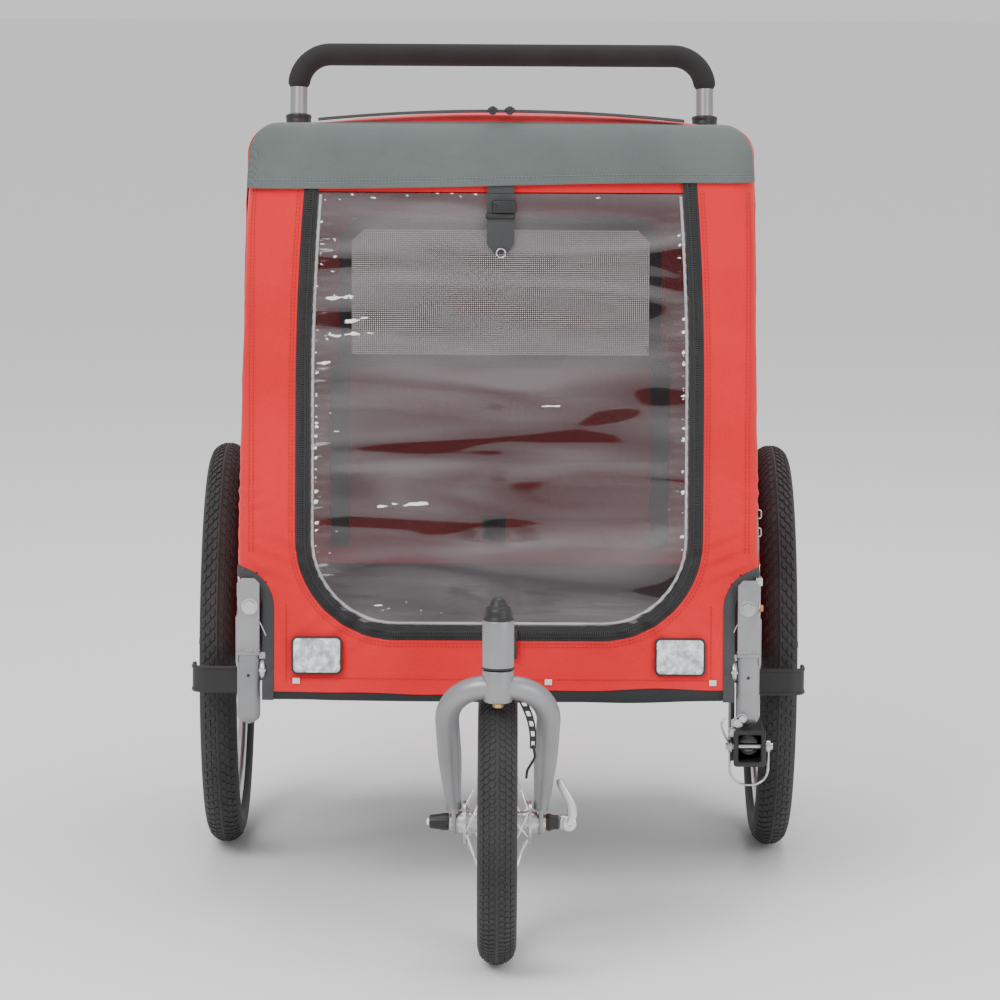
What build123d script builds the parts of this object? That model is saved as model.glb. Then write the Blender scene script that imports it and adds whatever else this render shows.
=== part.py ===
from build123d import *
import os
from math import atan, cos, sin, tan

# A two-wheeled bicycle trailer with a swivelling front wheel and a push handle.
# Millimetres, +Z up, front towards -Y, the trailer's own left side towards +X.
# The origin is on the ground, under the middle of the outer box.

# Running gear
wheel_radius = 250.0
tyre_radius = 23.5
wheel_centre_x = 338.0
front_wheel_radius = 159.0
front_tyre_radius = 23.0
wheelbase = 675.0
steering_trail = 80.0
rear_axle_radius = 6.0
rear_spoke_count = 20
front_spoke_count = 16
spoke_radius = 1.3

# Front wheel assembly
head_bottom = 347.0
head_top = 400.0
head_radius = 18.5
steerer_radius = 12.5
fork_half = 56.0

# Push handle
handle_reach = 545.0
handle_height = 962.0
handle_tube_x = 273.0
handle_tube_radius = 11.5
handle_post_radius = 14.5
grip_radius = 15.0
handle_corner = 44.0
handle_foot_reach = 418.0
handle_foot_z = 268.0
post_top = 866.0
collar_length = 16.0
grip_end = 914.0

# Tow coupling
tow_x = 294.0
tow_z = 195.0
tow_width = 35.0
tow_height = 41.0
tow_wall = 4.5

# Wheel guards
guard_outer_x = 366.0
guard_offset = 294.0
guard_return = 32.0
guard_height = 32.0
guard_thickness = 5.0
guard_bend = 14.0
guard_z = 253.0

# Base frame
rail_x = 285.0
rail_width = 25.0
rail_wall = 1.5
rail_z = 277.5
frame_half_length = 397.0
bracket_x = 292.0
bracket_width = 28.0
bracket_top = 391.0
bracket_bottom = 217.0
fold_x = 290.5
fold_z = 358.0
fold_bolt_radius = 4.0
hoop_radius = 9.0
hoop_wall = 1.2
hoop_rise = 520.0
hoop_corner = 70.0
hoop_eye_radius = 9.5
hoop_nesting = 27.0

# Cabin cover
cover_half_width = 303.5
cover_thickness = 3.0
cover_top = 912.0
cover_crown = 928.0
side_bottom = 276.0
front_bottom = 262.0
front_foot = 402.0
front_lean = 57.0
rear_face = 400.0
cover_corner = 34.0
notch_width = 40.0
notch_top = 402.0
window_half_width = 238.0
window_top = 838.0
window_bottom = 318.0
window_corner = 118.0
zipper_width = 17.0
mesh_half_width = 206.0
mesh_bottom = 563.0
mesh_top = 747.0

# Worked out from the sizes above
rear_extent = handle_reach + grip_radius
front_extent = wheelbase + front_wheel_radius
rear_axle_y = (front_extent - rear_extent) / 2
front_axle_y = rear_axle_y - wheelbase
steering_y = front_axle_y - steering_trail
crown_half = cover_half_width - cover_corner
crown_rise = cover_crown - cover_top
crown_radius = (crown_half**2 + crown_rise**2) / (2 * crown_rise)
lean = atan(front_lean / (cover_top - front_bottom))
grip_y = rear_axle_y + handle_reach
cabin_front_y = rear_axle_y - front_foot
cabin_rear_y = rear_axle_y + rear_face
roof_zipper_y = cabin_front_y + front_lean + 42

tow_front_y = cabin_front_y - 14.0
tow_pin_y = tow_front_y + 16.0

sides = {"left": 1, "right": -1}


def rod(start, end, radius, bore=0.0):
    """A straight round bar, or a tube when it has a bore."""
    line = Vector(*end) - Vector(*start)
    plane = Plane(origin=start, z_dir=line)
    shape = extrude(plane * Circle(radius), amount=line.length)
    if bore > 0:
        shape -= extrude(plane * Circle(bore), amount=line.length)
    return shape


def bent_tube(points, corner, radius, wall=0.0):
    """A round bar or tube along straight runs joined by arcs."""
    path = FilletPolyline(*points, radius=corner)
    plane = Plane(origin=path @ 0, z_dir=path % 0)
    outer = sweep(plane * Circle(radius), path=path)
    if wall <= 0:
        return outer
    return outer - sweep(plane * Circle(radius - wall), path=path)


def block(x_span, y_span, z_span):
    """A box between two values on each axis."""
    size = [abs(span[1] - span[0]) for span in (x_span, y_span, z_span)]
    middle = [(span[0] + span[1]) / 2 for span in (x_span, y_span, z_span)]
    return Pos(*middle) * Box(*size)


def both(shape):
    """A shape and its mirror image about the middle plane."""
    return Compound(children=[shape, mirror(shape, about=Plane.YZ)])


def group(*shapes):
    """Separate solids kept together in one node."""
    solids = [solid for shape in shapes for solid in shape.solids()]
    return Compound(children=solids)


def on_side(shape, side):
    """The left-hand shape, or its mirror image for the right."""
    return shape if sides[side] > 0 else mirror(shape, about=Plane.YZ)


def leaning(offset=0.0):
    """The plane of the front wall, moved outwards by an offset."""
    outward = Vector(0, -cos(lean), sin(lean))
    foot = Vector(0, cabin_front_y, front_bottom)
    return Plane(origin=foot + outward * offset, x_dir=(1, 0, 0), z_dir=outward)


def up_the_front(height):
    """Distance along the leaning wall for a height above the ground."""
    return (height - front_bottom) / cos(lean)


def front_y(height):
    """Where the outside of the front wall is, at a height."""
    return cabin_front_y + (height - front_bottom) * tan(lean)


# Wheels
def tyre(centre_radius, section_radius, wall):
    """A hollow tyre about the X axis, open towards the rim."""
    section = Plane.XY * (Pos(0, centre_radius) * Circle(section_radius))
    section -= Pos(0, centre_radius) * Circle(section_radius - wall)
    seat = centre_radius - section_radius * 0.62
    section -= Pos(0, seat / 2) * Rectangle(4 * section_radius, seat)
    return revolve(section, axis=Axis.X)


def rim(centre_radius, section_radius):
    """A double-walled rim under the tyre, about the X axis."""
    outer = centre_radius - section_radius * 0.62
    depth = section_radius * 0.62
    half = section_radius * 0.62
    section = Pos(0, outer - depth / 2) * Rectangle(2 * half, depth)
    corners = section.vertices().sort_by(Axis.Y)[:2]
    section = fillet(corners, depth * 0.45)
    section -= Pos(0, outer - depth * 0.42) * Rectangle(2 * half - 4, depth * 0.45)
    return revolve(section, axis=Axis.X)


def hub(half_width, body_radius, flange_radius, bore):
    """A hub shell with two spoke flanges, about the X axis."""
    shell = rod((-half_width, 0, 0), (half_width, 0, 0), body_radius)
    for end in (-1, 1):
        inner = end * (half_width - 9)
        outer = end * (half_width - 6)
        shell += rod((min(inner, outer), 0, 0), (max(inner, outer), 0, 0), flange_radius)
    return shell - rod((-half_width, 0, 0), (half_width, 0, 0), bore)


def spokes(count, hub_radius, hub_half, rim_radius):
    """Crossed spokes from the hub flanges to the rim, about the X axis."""
    wires = []
    for index in range(count):
        end = 1 if index % 2 else -1
        lead = 1 if (index // 2) % 2 else -1
        at_rim = 360.0 * index / count
        at_hub = at_rim + lead * 62.0
        foot = Vector(end * hub_half, 0, 0) + Vector(0, hub_radius, 0).rotate(Axis.X, at_hub)
        tip = Vector(end * 2.0, 0, 0) + Vector(0, rim_radius, 0).rotate(Axis.X, at_rim)
        wires.append(rod(foot, tip, spoke_radius))
    return wires


def rear_wheel(side):
    """Tyre, rim, spokes, hub, axle and release button of one rear wheel."""
    place = Pos(sides[side] * wheel_centre_x, rear_axle_y, wheel_radius)
    core = wheel_radius - tyre_radius
    hub_shape = hub(28, 14, 26, rear_axle_radius + 0.06)
    rim_shape = rim(core, tyre_radius)
    seat = core - tyre_radius * 1.24
    wires = spokes(rear_spoke_count, 23.2, 18.5, seat - 0.2)
    made = {
        f"tyre_{side}": place * tyre(core, tyre_radius, 4.5),
        f"rim_{side}": place * rim_shape,
        f"hub_{side}": place * hub_shape,
        f"spokes_{side}": place * group(*[w - hub_shape for w in wires]),
    }
    outward = sides[side]
    tip = outward * (wheel_centre_x + 34)
    shaft_start = (outward * 272.0, rear_axle_y, wheel_radius)
    shaft = rod(shaft_start, (tip, rear_axle_y, wheel_radius), rear_axle_radius)
    cap_start = (outward * (wheel_centre_x + 28.6), rear_axle_y, wheel_radius)
    cap = rod(cap_start, (tip, rear_axle_y, wheel_radius), 11)
    collar_end = (outward * (wheel_centre_x - 28.6), rear_axle_y, wheel_radius)
    collar = rod((outward * 301.0, rear_axle_y, wheel_radius), collar_end, 10)
    well_start = (outward * (wheel_centre_x + 26), rear_axle_y, wheel_radius)
    well = rod(well_start, (tip, rear_axle_y, wheel_radius), 4.1)
    made[f"axle_{side}"] = shaft + cap + collar - well
    button_start = (outward * (wheel_centre_x + 30), rear_axle_y, wheel_radius)
    button_end = (outward * (wheel_centre_x + 37), rear_axle_y, wheel_radius)
    made[f"release_button_{side}"] = rod(button_start, button_end, 4.0)
    return made


# Base frame
def square_tube(x_span, y_span, z_span, along):
    """A square tube, open along one axis."""
    inner = []
    for axis, span in zip("xyz", (x_span, y_span, z_span)):
        inner.append(span if axis == along else (span[0] + rail_wall, span[1] - rail_wall))
    return block(x_span, y_span, z_span) - block(*inner)


def side_rails():
    """The two long tubes of the base."""
    half = rail_width / 2
    y_span = (rear_axle_y - frame_half_length + 26, rear_axle_y + frame_half_length - 26)
    z_span = (rail_z - half, rail_z + half)
    return both(square_tube((rail_x - half, rail_x + half), y_span, z_span, "y"))


def cross_tubes():
    """Four tubes across the base, between the rails."""
    half = rail_width / 2
    reach = rail_x - half
    tubes = []
    for offset in (-383.0, -255.0, 60.0, 358.5):
        middle = rear_axle_y + offset
        y_span = (middle - half, middle + half)
        tubes.append(square_tube((-reach, reach), y_span, (rail_z - half, rail_z + half), "x"))
    return group(*tubes)


def front_bracket():
    """The left front bracket: a bolted upper plate on a rounded lower leg."""
    half = bracket_width / 2
    face = cabin_front_y
    left, right = bracket_x - half, bracket_x + half
    plate = block((left, right), (face, face + 3.5), (288, bracket_top))
    plate += block((right - 3.5, right), (face, face + 26), (288, bracket_top - 46))
    edges = plate.edges().filter_by(Axis.Y).group_by(Axis.Z)[-1]
    plate = fillet(edges, 3.0)
    notch_z = fold_z
    plate -= block((right - 4, right + 1), (face - 1, face + 4), (notch_z - 9, notch_z + 9))
    leg = block((left, right), (face, face + 26), (bracket_bottom, 290))
    leg = fillet(leg.edges().filter_by(Axis.Z), 9.0)
    lowest = leg.faces().sort_by(Axis.Z)[0]
    leg = fillet(lowest.edges(), 8.0)
    shape = plate + leg
    bolt_hole = rod((fold_x, face - 1, fold_z), (fold_x, face + 6, fold_z), fold_bolt_radius)
    pin_hole = rod((bracket_x, face - 1, 276), (bracket_x, face + 27, 276), 1.8)
    return shape - bolt_hole - pin_hole


def rear_bracket():
    """The left rear bracket: an upright plate that carries the hoop's rear pivot."""
    half = bracket_width / 2
    face = rear_axle_y + frame_half_length - 1
    left, right = bracket_x - half, bracket_x + half
    plate = block((left, right - 9), (face - 4, face), (250, bracket_top - 18))
    foot = block((rail_x - 12, rail_x + 12), (face - 25, face - 4), (266, 289))
    hole = rod((fold_x, face - 6, fold_z), (fold_x, face + 2, fold_z), fold_bolt_radius)
    return plate + foot - hole


def pivot_bolts():
    """Hex bolts through the brackets, on which the hoops turn."""
    bolts = []
    face = cabin_front_y
    back = rear_axle_y + frame_half_length - 1
    for side in (-1, 1):
        x = side * fold_x
        shank = rod((x, face - 2, fold_z), (x, face + 46 + 16 * (side > 0), fold_z), fold_bolt_radius)
        washer = rod((x, face - 1.6, fold_z), (x, face, fold_z), 9.5)
        head_plane = Plane(origin=(x, face - 1.6, fold_z), z_dir=(0, -1, 0))
        head = extrude(head_plane * RegularPolygon(7.5, 6), amount=5.5)
        bolts.append(shank + washer + head)
        rear = rod((x, back + 2, fold_z), (x, back - 34 - 16 * (side > 0), fold_z), fold_bolt_radius)
        rear_washer = rod((x, back, fold_z), (x, back + 1.6, fold_z), 9.5)
        rear_plane = Plane(origin=(x, back + 1.6, fold_z), z_dir=(0, 1, 0))
        rear_head = extrude(rear_plane * RegularPolygon(7.5, 6), amount=5.5)
        bolts.append(rear + rear_washer + rear_head)
    return group(*bolts)


def hoop(side):
    """One side hoop of the folding frame, with an eye at each foot."""
    inset = hoop_nesting if side == "left" else 0.0
    x = sides[side] * fold_x
    front = cabin_front_y + 27.0 + inset
    rear = rear_axle_y + frame_half_length - 22.0 - inset
    top = fold_z + hoop_rise
    points = [
        (x, front, fold_z + 6),
        (x, front + front_lean * 0.86, top),
        (x, rear - 16, top),
        (x, rear, fold_z + 6),
    ]
    shape = bent_tube(points, hoop_corner, hoop_radius, hoop_wall)
    for y in (front, rear):
        shape += rod((x, y - 7, fold_z), (x, y + 7, fold_z), hoop_eye_radius)
        shape -= rod((x, y - 12, fold_z), (x, y + 12, fold_z), fold_bolt_radius + 0.08)
    return shape


def axle_receivers():
    """Blocks under the rails that take the rear axles."""
    body = block((272, 300.5), (rear_axle_y - 20, rear_axle_y + 20), (233, rail_z - rail_width / 2))
    bore = rod((272, rear_axle_y, wheel_radius), (301, rear_axle_y, wheel_radius), rear_axle_radius)
    return both(body - bore)


def wheel_guards():
    """Flat bars that reach out in front of the rear tyres and turn back."""
    start = rail_x + rail_width / 2
    outer = guard_outer_x - guard_thickness / 2
    front = rear_axle_y - guard_offset
    line = FilletPolyline((start, front), (outer, front), (outer, front + guard_return), radius=guard_bend)
    section = Plane(origin=line @ 0, z_dir=line % 0) * Rectangle(guard_thickness, guard_height)
    strip = Pos(0, 0, guard_z) * sweep(section, path=line)
    return both(strip)


def arm_socket():
    """The round socket under the base that holds the front wheel arm."""
    y_span = (rear_axle_y - 397, rear_axle_y - 242.5)
    sleeve = rod((0, y_span[0], 238), (0, y_span[1], 238), 18.5)
    saddles = block((-12, 12), (y_span[0], y_span[0] + 25), (240, rail_z - rail_width / 2))
    saddles += block((-12, 12), (y_span[1] - 25, y_span[1]), (240, rail_z - rail_width / 2))
    bore = rod((0, y_span[0], 238), (0, y_span[1], 238), 14.08)
    return sleeve + saddles - bore


def floor_panel():
    """The flat floor of the cabin, resting on the base."""
    reach = rail_x + 8
    y_span = (cabin_front_y + 28, rear_axle_y + frame_half_length - 30)
    return block((-reach, reach), y_span, (rail_z + rail_width / 2, rail_z + rail_width / 2 + 4))


def bracket_latches():
    """Small spring clips on the inner side of the front brackets."""
    x = bracket_x - bracket_width / 2
    face = cabin_front_y
    ear = block((x - 5, x), (face + 4, face + 16), (258, 286))
    clip = rod((x - 3, face + 10, 286), (x - 3, face + 10, 330), 1.3)
    tip = rod((x - 3, face + 10, 330), (x - 1.4, face + 10, 336), 1.3)
    return both(ear + clip + tip)


# Tow coupling


def tow_receiver():
    """The square socket for the tow bar, hung from the left front corner."""
    x_span = (tow_x - tow_width / 2, tow_x + tow_width / 2)
    z_span = (tow_z - tow_height / 2, tow_z + tow_height / 2)
    y_span = (tow_front_y, tow_front_y + 88)
    body = block(x_span, y_span, z_span)
    body -= block(
        (x_span[0] + tow_wall, x_span[1] - tow_wall),
        (y_span[0] - 1, y_span[1] - 6),
        (z_span[0] + tow_wall, z_span[1] - tow_wall),
    )
    hanger = block((x_span[0] - 4, x_span[0]), (y_span[0] + 36, y_span[1]), (z_span[0], 265))
    lip = block(x_span, (tow_front_y - 2, tow_front_y + 10), (z_span[1], z_span[1] + 1.3))
    pin_hole = rod((x_span[0] - 8, tow_pin_y, tow_z), (x_span[1] + 8, tow_pin_y, tow_z), 4.0)
    return body + hanger + lip - pin_hole


def hitch_pin():
    """The cross pin that locks a tow bar in the socket."""
    reach = tow_width / 2 + 10
    return rod((tow_x - reach, tow_pin_y, tow_z), (tow_x + reach, tow_pin_y, tow_z), 3.95)


def hitch_bail():
    """The wire loop that swings on the pin's ends and keeps it in."""
    reach = tow_width / 2 + 5.0
    loop = bent_tube(
        [
            (tow_x - reach, tow_pin_y, tow_z - 6),
            (tow_x - reach, tow_pin_y, tow_z - 46),
            (tow_x + reach, tow_pin_y, tow_z - 46),
            (tow_x + reach, tow_pin_y, tow_z - 6),
        ],
        20,
        1.4,
    )
    for side in (-1, 1):
        x = tow_x + side * reach
        loop += rod((x - 2, tow_pin_y, tow_z), (x + 2, tow_pin_y, tow_z), 7.0)
        loop -= rod((x - 3, tow_pin_y, tow_z), (x + 3, tow_pin_y, tow_z), 4.05)
    return loop


# Front wheel assembly


def front_arm():
    """The bent tube from the base to the head tube."""
    points = [
        (0, steering_y + head_radius - 2, 378),
        (0, steering_y + 68, 378),
        (0, rear_axle_y - 452, 238),
        (0, rear_axle_y - 250, 238),
    ]
    shape = bent_tube(points, 52, 14.0, 1.8)
    return shape - rod((0, steering_y, 330), (0, steering_y, 420), head_radius)


def head_tube():
    """The upright bearing tube in which the fork turns."""
    return rod((0, steering_y, head_bottom), (0, steering_y, head_top), head_radius, steerer_radius + 0.08)


def head_cap():
    """The stepped rubber dome on the head tube."""
    cap = rod((0, steering_y, head_top), (0, steering_y, head_top + 3), 17.5)
    cap += rod((0, steering_y, head_top + 3), (0, steering_y, head_top + 15), 15)
    top = rod((0, steering_y, head_top + 14), (0, steering_y, head_top + 25), 9.5)
    return cap + fillet(top.edges().sort_by(Axis.Z)[-1], 5.0)


def fork():
    """Crown sleeve, two arched legs that narrow to dropouts, and the steerer."""
    crown = rod((0, steering_y, 309.5), (0, steering_y, head_bottom - 2.2), head_radius)
    crown += rod((0, steering_y, head_bottom - 4), (0, steering_y, head_top - 1), steerer_radius)
    back = Vector(0, steering_trail, front_wheel_radius - 329)
    length = back.length
    down = back.normalized()
    arch = Plane(origin=(0, steering_y, 329), x_dir=(1, 0, 0), z_dir=Vector(1, 0, 0).cross(-down))
    legs = []
    for side in (-1, 1):
        path = FilletPolyline((side * 8, 0), (side * fork_half, 0), (side * fork_half, -112), radius=44)
        path = arch * path
        start = Plane(origin=path @ 0, z_dir=path % 0)
        leg = sweep(start * Circle(14), path=path)
        low = Plane(origin=path @ 1, z_dir=path % 1, x_dir=(1, 0, 0))
        end = low.offset(length - 112 - 12)
        taper = loft([low * Circle(14), low.offset(34) * Ellipse(9.5, 13), end * Ellipse(3.5, 11)])
        blade = Pos(side * fork_half, front_axle_y, front_wheel_radius) * Box(5.5, 20, 26)
        blade = fillet(blade.edges().filter_by(Axis.X), 6.0)
        legs.append(leg + taper + blade)
    shape = crown + legs[0] + legs[1]
    shape -= rod((-70, front_axle_y, front_wheel_radius), (70, front_axle_y, front_wheel_radius), 4.6)
    nut = rod((0, steering_y, 306.5), (0, steering_y, 309.5), 9)
    return shape + nut


def front_wheel():
    """Tyre, rim, spokes and hub of the front wheel."""
    place = Pos(0, front_axle_y, front_wheel_radius)
    core = front_wheel_radius - front_tyre_radius
    hub_shape = hub(44, 12, 24, 4.66)
    seat = core - front_tyre_radius * 1.24
    wires = spokes(front_spoke_count, 21.4, 34.5, seat - 0.2)
    return {
        "tyre_front": place * tyre(core, front_tyre_radius, 4.0),
        "rim_front": place * rim(core, front_tyre_radius),
        "hub_front": place * hub_shape,
        "spokes_front": place * group(*[w - hub_shape for w in wires]),
    }


def skewer():
    """The thin axle through the front hub, with its cone washers."""
    y, z = front_axle_y, front_wheel_radius
    shape = rod((-60, y, z), (68.5, y, z), 4.6)
    for side in (-1, 1):
        shape += rod((side * 44.4, y, z), (side * 53.2, y, z), 9)
    return shape


def quick_release():
    """The closing nut on one side and the cam lever on the other."""
    y, z = front_axle_y, front_wheel_radius
    nut = rod((-76, y, z), (-58.8, y, z), 9.5)
    nut = fillet(nut.edges().sort_by(Axis.X)[0], 3.0)
    nut -= rod((-60, y, z), (-58, y, z), 4.7)
    seat = rod((58.8, y, z), (68.0, y, z), 8.5)
    seat -= rod((58, y, z), (70, y, z), 4.7)
    lever = rod((77, y - 8, z), (77, y + 8, z), 8.0)
    arm = block((74, 80), (y - 6, y + 6), (z + 4, z + 50))
    arm = fillet(arm.edges().filter_by(Axis.X), 5.0)
    return group(nut, seat), lever + arm


def fork_strap():
    """The punched rubber strap that hangs from the crown."""
    x, y = 31.0, steering_y + 16.0
    strap = block((x - 5, x + 5), (y - 1.2, y + 1.2), (262, 304))
    for index in range(3):
        hole_z = 270 + 12 * index
        strap -= rod((x, y - 3, hole_z), (x, y + 3, hole_z), 2.6)
    return strap


# Cabin cover
def wall_outline(bottom, half_width):
    """The outline of an end wall, with round top corners."""
    height = up_the_front(cover_top) - bottom
    middle = bottom + height / 2
    sketch = Pos(0, middle) * Rectangle(2 * half_width, height)
    return fillet(sketch.vertices().sort_by(Axis.Y)[-2:], cover_corner)


def window_outline(inset):
    """The window: square at the top, round at the lower corners."""
    low, high = up_the_front(window_bottom) + inset, up_the_front(window_top)
    sketch = Pos(0, (low + high) / 2) * Rectangle(2 * (window_half_width - inset), high - low)
    return fillet(sketch.vertices().sort_by(Axis.Y)[:2], window_corner - inset)


def corner_notches(height):
    """Cut-outs at the lower corners of an end wall, for the brackets."""
    cuts = []
    for side in (-1, 1):
        notch = Pos(side * (cover_half_width + 2), 0) * Rectangle(2 * notch_width, 2 * height)
        inner = notch.vertices().group_by(Axis.Y)[-1].sort_by(Axis.X)
        corner = inner[0] if side > 0 else inner[-1]
        cuts.append(fillet(corner, notch_width - 6))
    return cuts[0] + cuts[1]


def cover_front():
    """The front wall with the window opening and cut-out lower corners."""
    outline = wall_outline(0, cover_half_width) - corner_notches(up_the_front(notch_top))
    outline -= window_outline(1.0)
    return extrude(leaning(-cover_thickness) * outline, amount=cover_thickness)


def window_zipper():
    """The zipper tape round the window."""
    band = window_outline(0.0) - window_outline(zipper_width)
    return extrude(leaning(0.2) * band, amount=1.6)


def window_panel():
    """The clear front panel inside the zipper."""
    sheet = window_outline(zipper_width + 1.0)
    trim = Pos(0, up_the_front(window_top)) * Rectangle(900, 4)
    return extrude(leaning(-1.0) * (sheet - trim), amount=1.2)


def window_pull():
    """The zipper slider at the bottom of the window, with its pull."""
    z = window_bottom + zipper_width / 2
    slider = Pos(0, 0) * Rectangle(12, 9)
    v = up_the_front(z)
    body = extrude(leaning(2.0) * (Pos(17, v) * slider), amount=3.0)
    pull = Pos(17, v - 15) * Rectangle(5, 26)
    return body + extrude(leaning(3.0) * pull, amount=2.0)


def front_flap():
    """The flap that covers the top of the window."""
    low = up_the_front(849)
    high = up_the_front(cover_top) - cover_corner * 0.4
    sheet = Pos(0, (low + high) / 2) * Rectangle(2 * cover_half_width - 8, high - low)
    return extrude(leaning(0.3) * sheet, amount=2.2)


def front_strap():
    """The roll-up strap at the top of the window, and its toggle."""
    middle = up_the_front(802)
    strap = extrude(leaning(1.0) * (Pos(0, middle) * Rectangle(30, 66)), amount=1.6)
    toggle = extrude(leaning(2.7) * (Pos(4, up_the_front(824)) * Rectangle(26, 16)), amount=5)
    return strap, toggle


def cover_side():
    """The left side wall, between the end walls and under the roof."""
    foot = rear_axle_y - front_foot + (side_bottom - front_bottom) * tan(lean)
    head_z = cover_top - cover_corner
    head = front_y(head_z)
    gap = cover_thickness + 0.2
    points = [
        (foot + gap + 34, side_bottom),
        (cabin_rear_y - gap, side_bottom),
        (cabin_rear_y - gap, head_z),
        (head + gap, head_z),
        (front_y(405) + gap, 405),
        (foot + gap + 34, 372),
    ]
    outline = Polygon(*points, align=None)
    plane = Plane(origin=(cover_half_width - cover_thickness, 0, 0), x_dir=(0, 1, 0), z_dir=(1, 0, 0))
    return extrude(plane * outline, amount=cover_thickness)


def cover_roof():
    """The roof: a shallow crown between two round shoulders."""
    base = cover_top - cover_corner
    width = cover_half_width

    def arch(inset):
        shoulder = cover_corner - inset
        left = (-(width - inset), base)
        right = (width - inset, base)
        rise_left = (-(width - cover_corner), base + shoulder)
        rise_right = (width - cover_corner, base + shoulder)
        crown = (0, cover_crown - inset)
        lines = [
            RadiusArc(left, rise_left, shoulder),
            ThreePointArc(rise_left, crown, rise_right),
            RadiusArc(rise_right, right, shoulder),
            Line(right, left),
        ]
        return make_face(lines)

    section = arch(0) - arch(cover_thickness)
    front = front_y(base) + cover_thickness + 0.4
    length = cabin_rear_y - cover_thickness - 0.2 - front
    plane = Plane(origin=(0, front, 0), x_dir=(1, 0, 0), z_dir=(0, -1, 0))
    roof = extrude(plane * section, amount=-length)
    nose = leaning(-cover_thickness - 0.2)
    cutter = extrude(nose * Rectangle(1400, 3000), amount=120)
    return roof - cutter


def cover_rear():
    """The rear wall, with an opening for the mesh window."""
    height = cover_top - side_bottom
    middle = (cover_top + side_bottom) / 2
    sketch = Pos(0, middle) * Rectangle(2 * cover_half_width, height)
    sketch = fillet(sketch.vertices().sort_by(Axis.Y)[-2:], cover_corner)
    sketch -= corner_notches(notch_top)
    mesh_height = mesh_top - mesh_bottom
    hole = Pos(0, (mesh_top + mesh_bottom) / 2) * Rectangle(2 * mesh_half_width, mesh_height)
    plane = Plane(origin=(0, cabin_rear_y, 0), x_dir=(1, 0, 0), z_dir=(0, -1, 0))
    wall = extrude(plane * (sketch - hole), amount=cover_thickness)
    mesh = extrude(plane * hole, amount=cover_thickness / 2)
    return wall, mesh


def roof_zipper():
    """The zipper across the crown of the roof, just behind the flap."""
    inner, outer = crown_radius + 0.4, crown_radius + 2.0
    centre = Pos(0, cover_crown - crown_radius)
    reach = 214.0
    ring = centre * (Circle(outer) - Circle(inner))
    section = ring & (Pos(0, cover_crown) * Rectangle(2 * reach, 60))
    plane = Plane(origin=(0, roof_zipper_y + 9, 0), x_dir=(1, 0, 0), z_dir=(0, -1, 0))
    return extrude(plane * section, amount=18)


def roof_pull(side):
    """One of the two sliders on the roof zipper."""
    x = sides[side] * 10
    z = cover_crown + 2.4
    body = block((x - 6, x + 6), (roof_zipper_y - 5, roof_zipper_y + 5), (z, z + 4))
    return body + block((x - 3, x + 3), (roof_zipper_y - 24, roof_zipper_y - 4), (z + 1, z + 3))


def front_reflectors():
    """Two rectangular reflectors on the front wall, under the window."""
    sketch = Pos(212, up_the_front(300)) * Rectangle(59, 44)
    sketch = fillet(sketch.vertices(), 6)
    plate = extrude(leaning(0.3) * sketch, amount=6)
    return both(plate)


# Push handle
def handle_point(height):
    """Where the handle's sloping line is, at a height."""
    ratio = (height - handle_foot_z) / (handle_height - handle_foot_z)
    return rear_axle_y + handle_foot_reach + (handle_reach - handle_foot_reach) * ratio


def handle_posts():
    """The fixed outer tubes of the push handle."""
    start = (handle_tube_x, handle_point(262), 262)
    end = (handle_tube_x, handle_point(post_top), post_top)
    post = rod(start, end, handle_post_radius, handle_tube_radius + 0.1)
    foot_span = (rear_axle_y + 396.2, rear_axle_y + 405.5)
    foot = block((handle_tube_x - 7, handle_tube_x + 14), foot_span, (252, 300))
    link_span = (rear_axle_y + 405.5, rear_axle_y + 414)
    link = block((handle_tube_x - 6, handle_tube_x + 6), link_span, (264, 297))
    bore = rod((handle_tube_x, handle_point(240), 240), (handle_tube_x, handle_point(320), 320), 12.5)
    return both(post + (foot + link - bore))


def post_collars():
    """Dark collars at the top of the posts."""
    collar_top = post_top + collar_length
    start = (handle_tube_x, handle_point(post_top), post_top)
    end = (handle_tube_x, handle_point(collar_top), collar_top)
    return both(rod(start, end, handle_post_radius + 3, handle_tube_radius + 0.15))


def handlebar():
    """The sliding U-shaped tube."""
    points = [
        (-handle_tube_x, handle_point(610), 610),
        (-handle_tube_x, grip_y, handle_height),
        (handle_tube_x, grip_y, handle_height),
        (handle_tube_x, handle_point(610), 610),
    ]
    return bent_tube(points, handle_corner, handle_tube_radius, 1.6)


def handle_grip():
    """The foam sleeve over the top of the handlebar."""
    points = [
        (-handle_tube_x, handle_point(grip_end), grip_end),
        (-handle_tube_x, grip_y, handle_height),
        (handle_tube_x, grip_y, handle_height),
        (handle_tube_x, handle_point(grip_end), grip_end),
    ]
    return bent_tube(points, handle_corner, grip_radius, grip_radius - handle_tube_radius)


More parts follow.
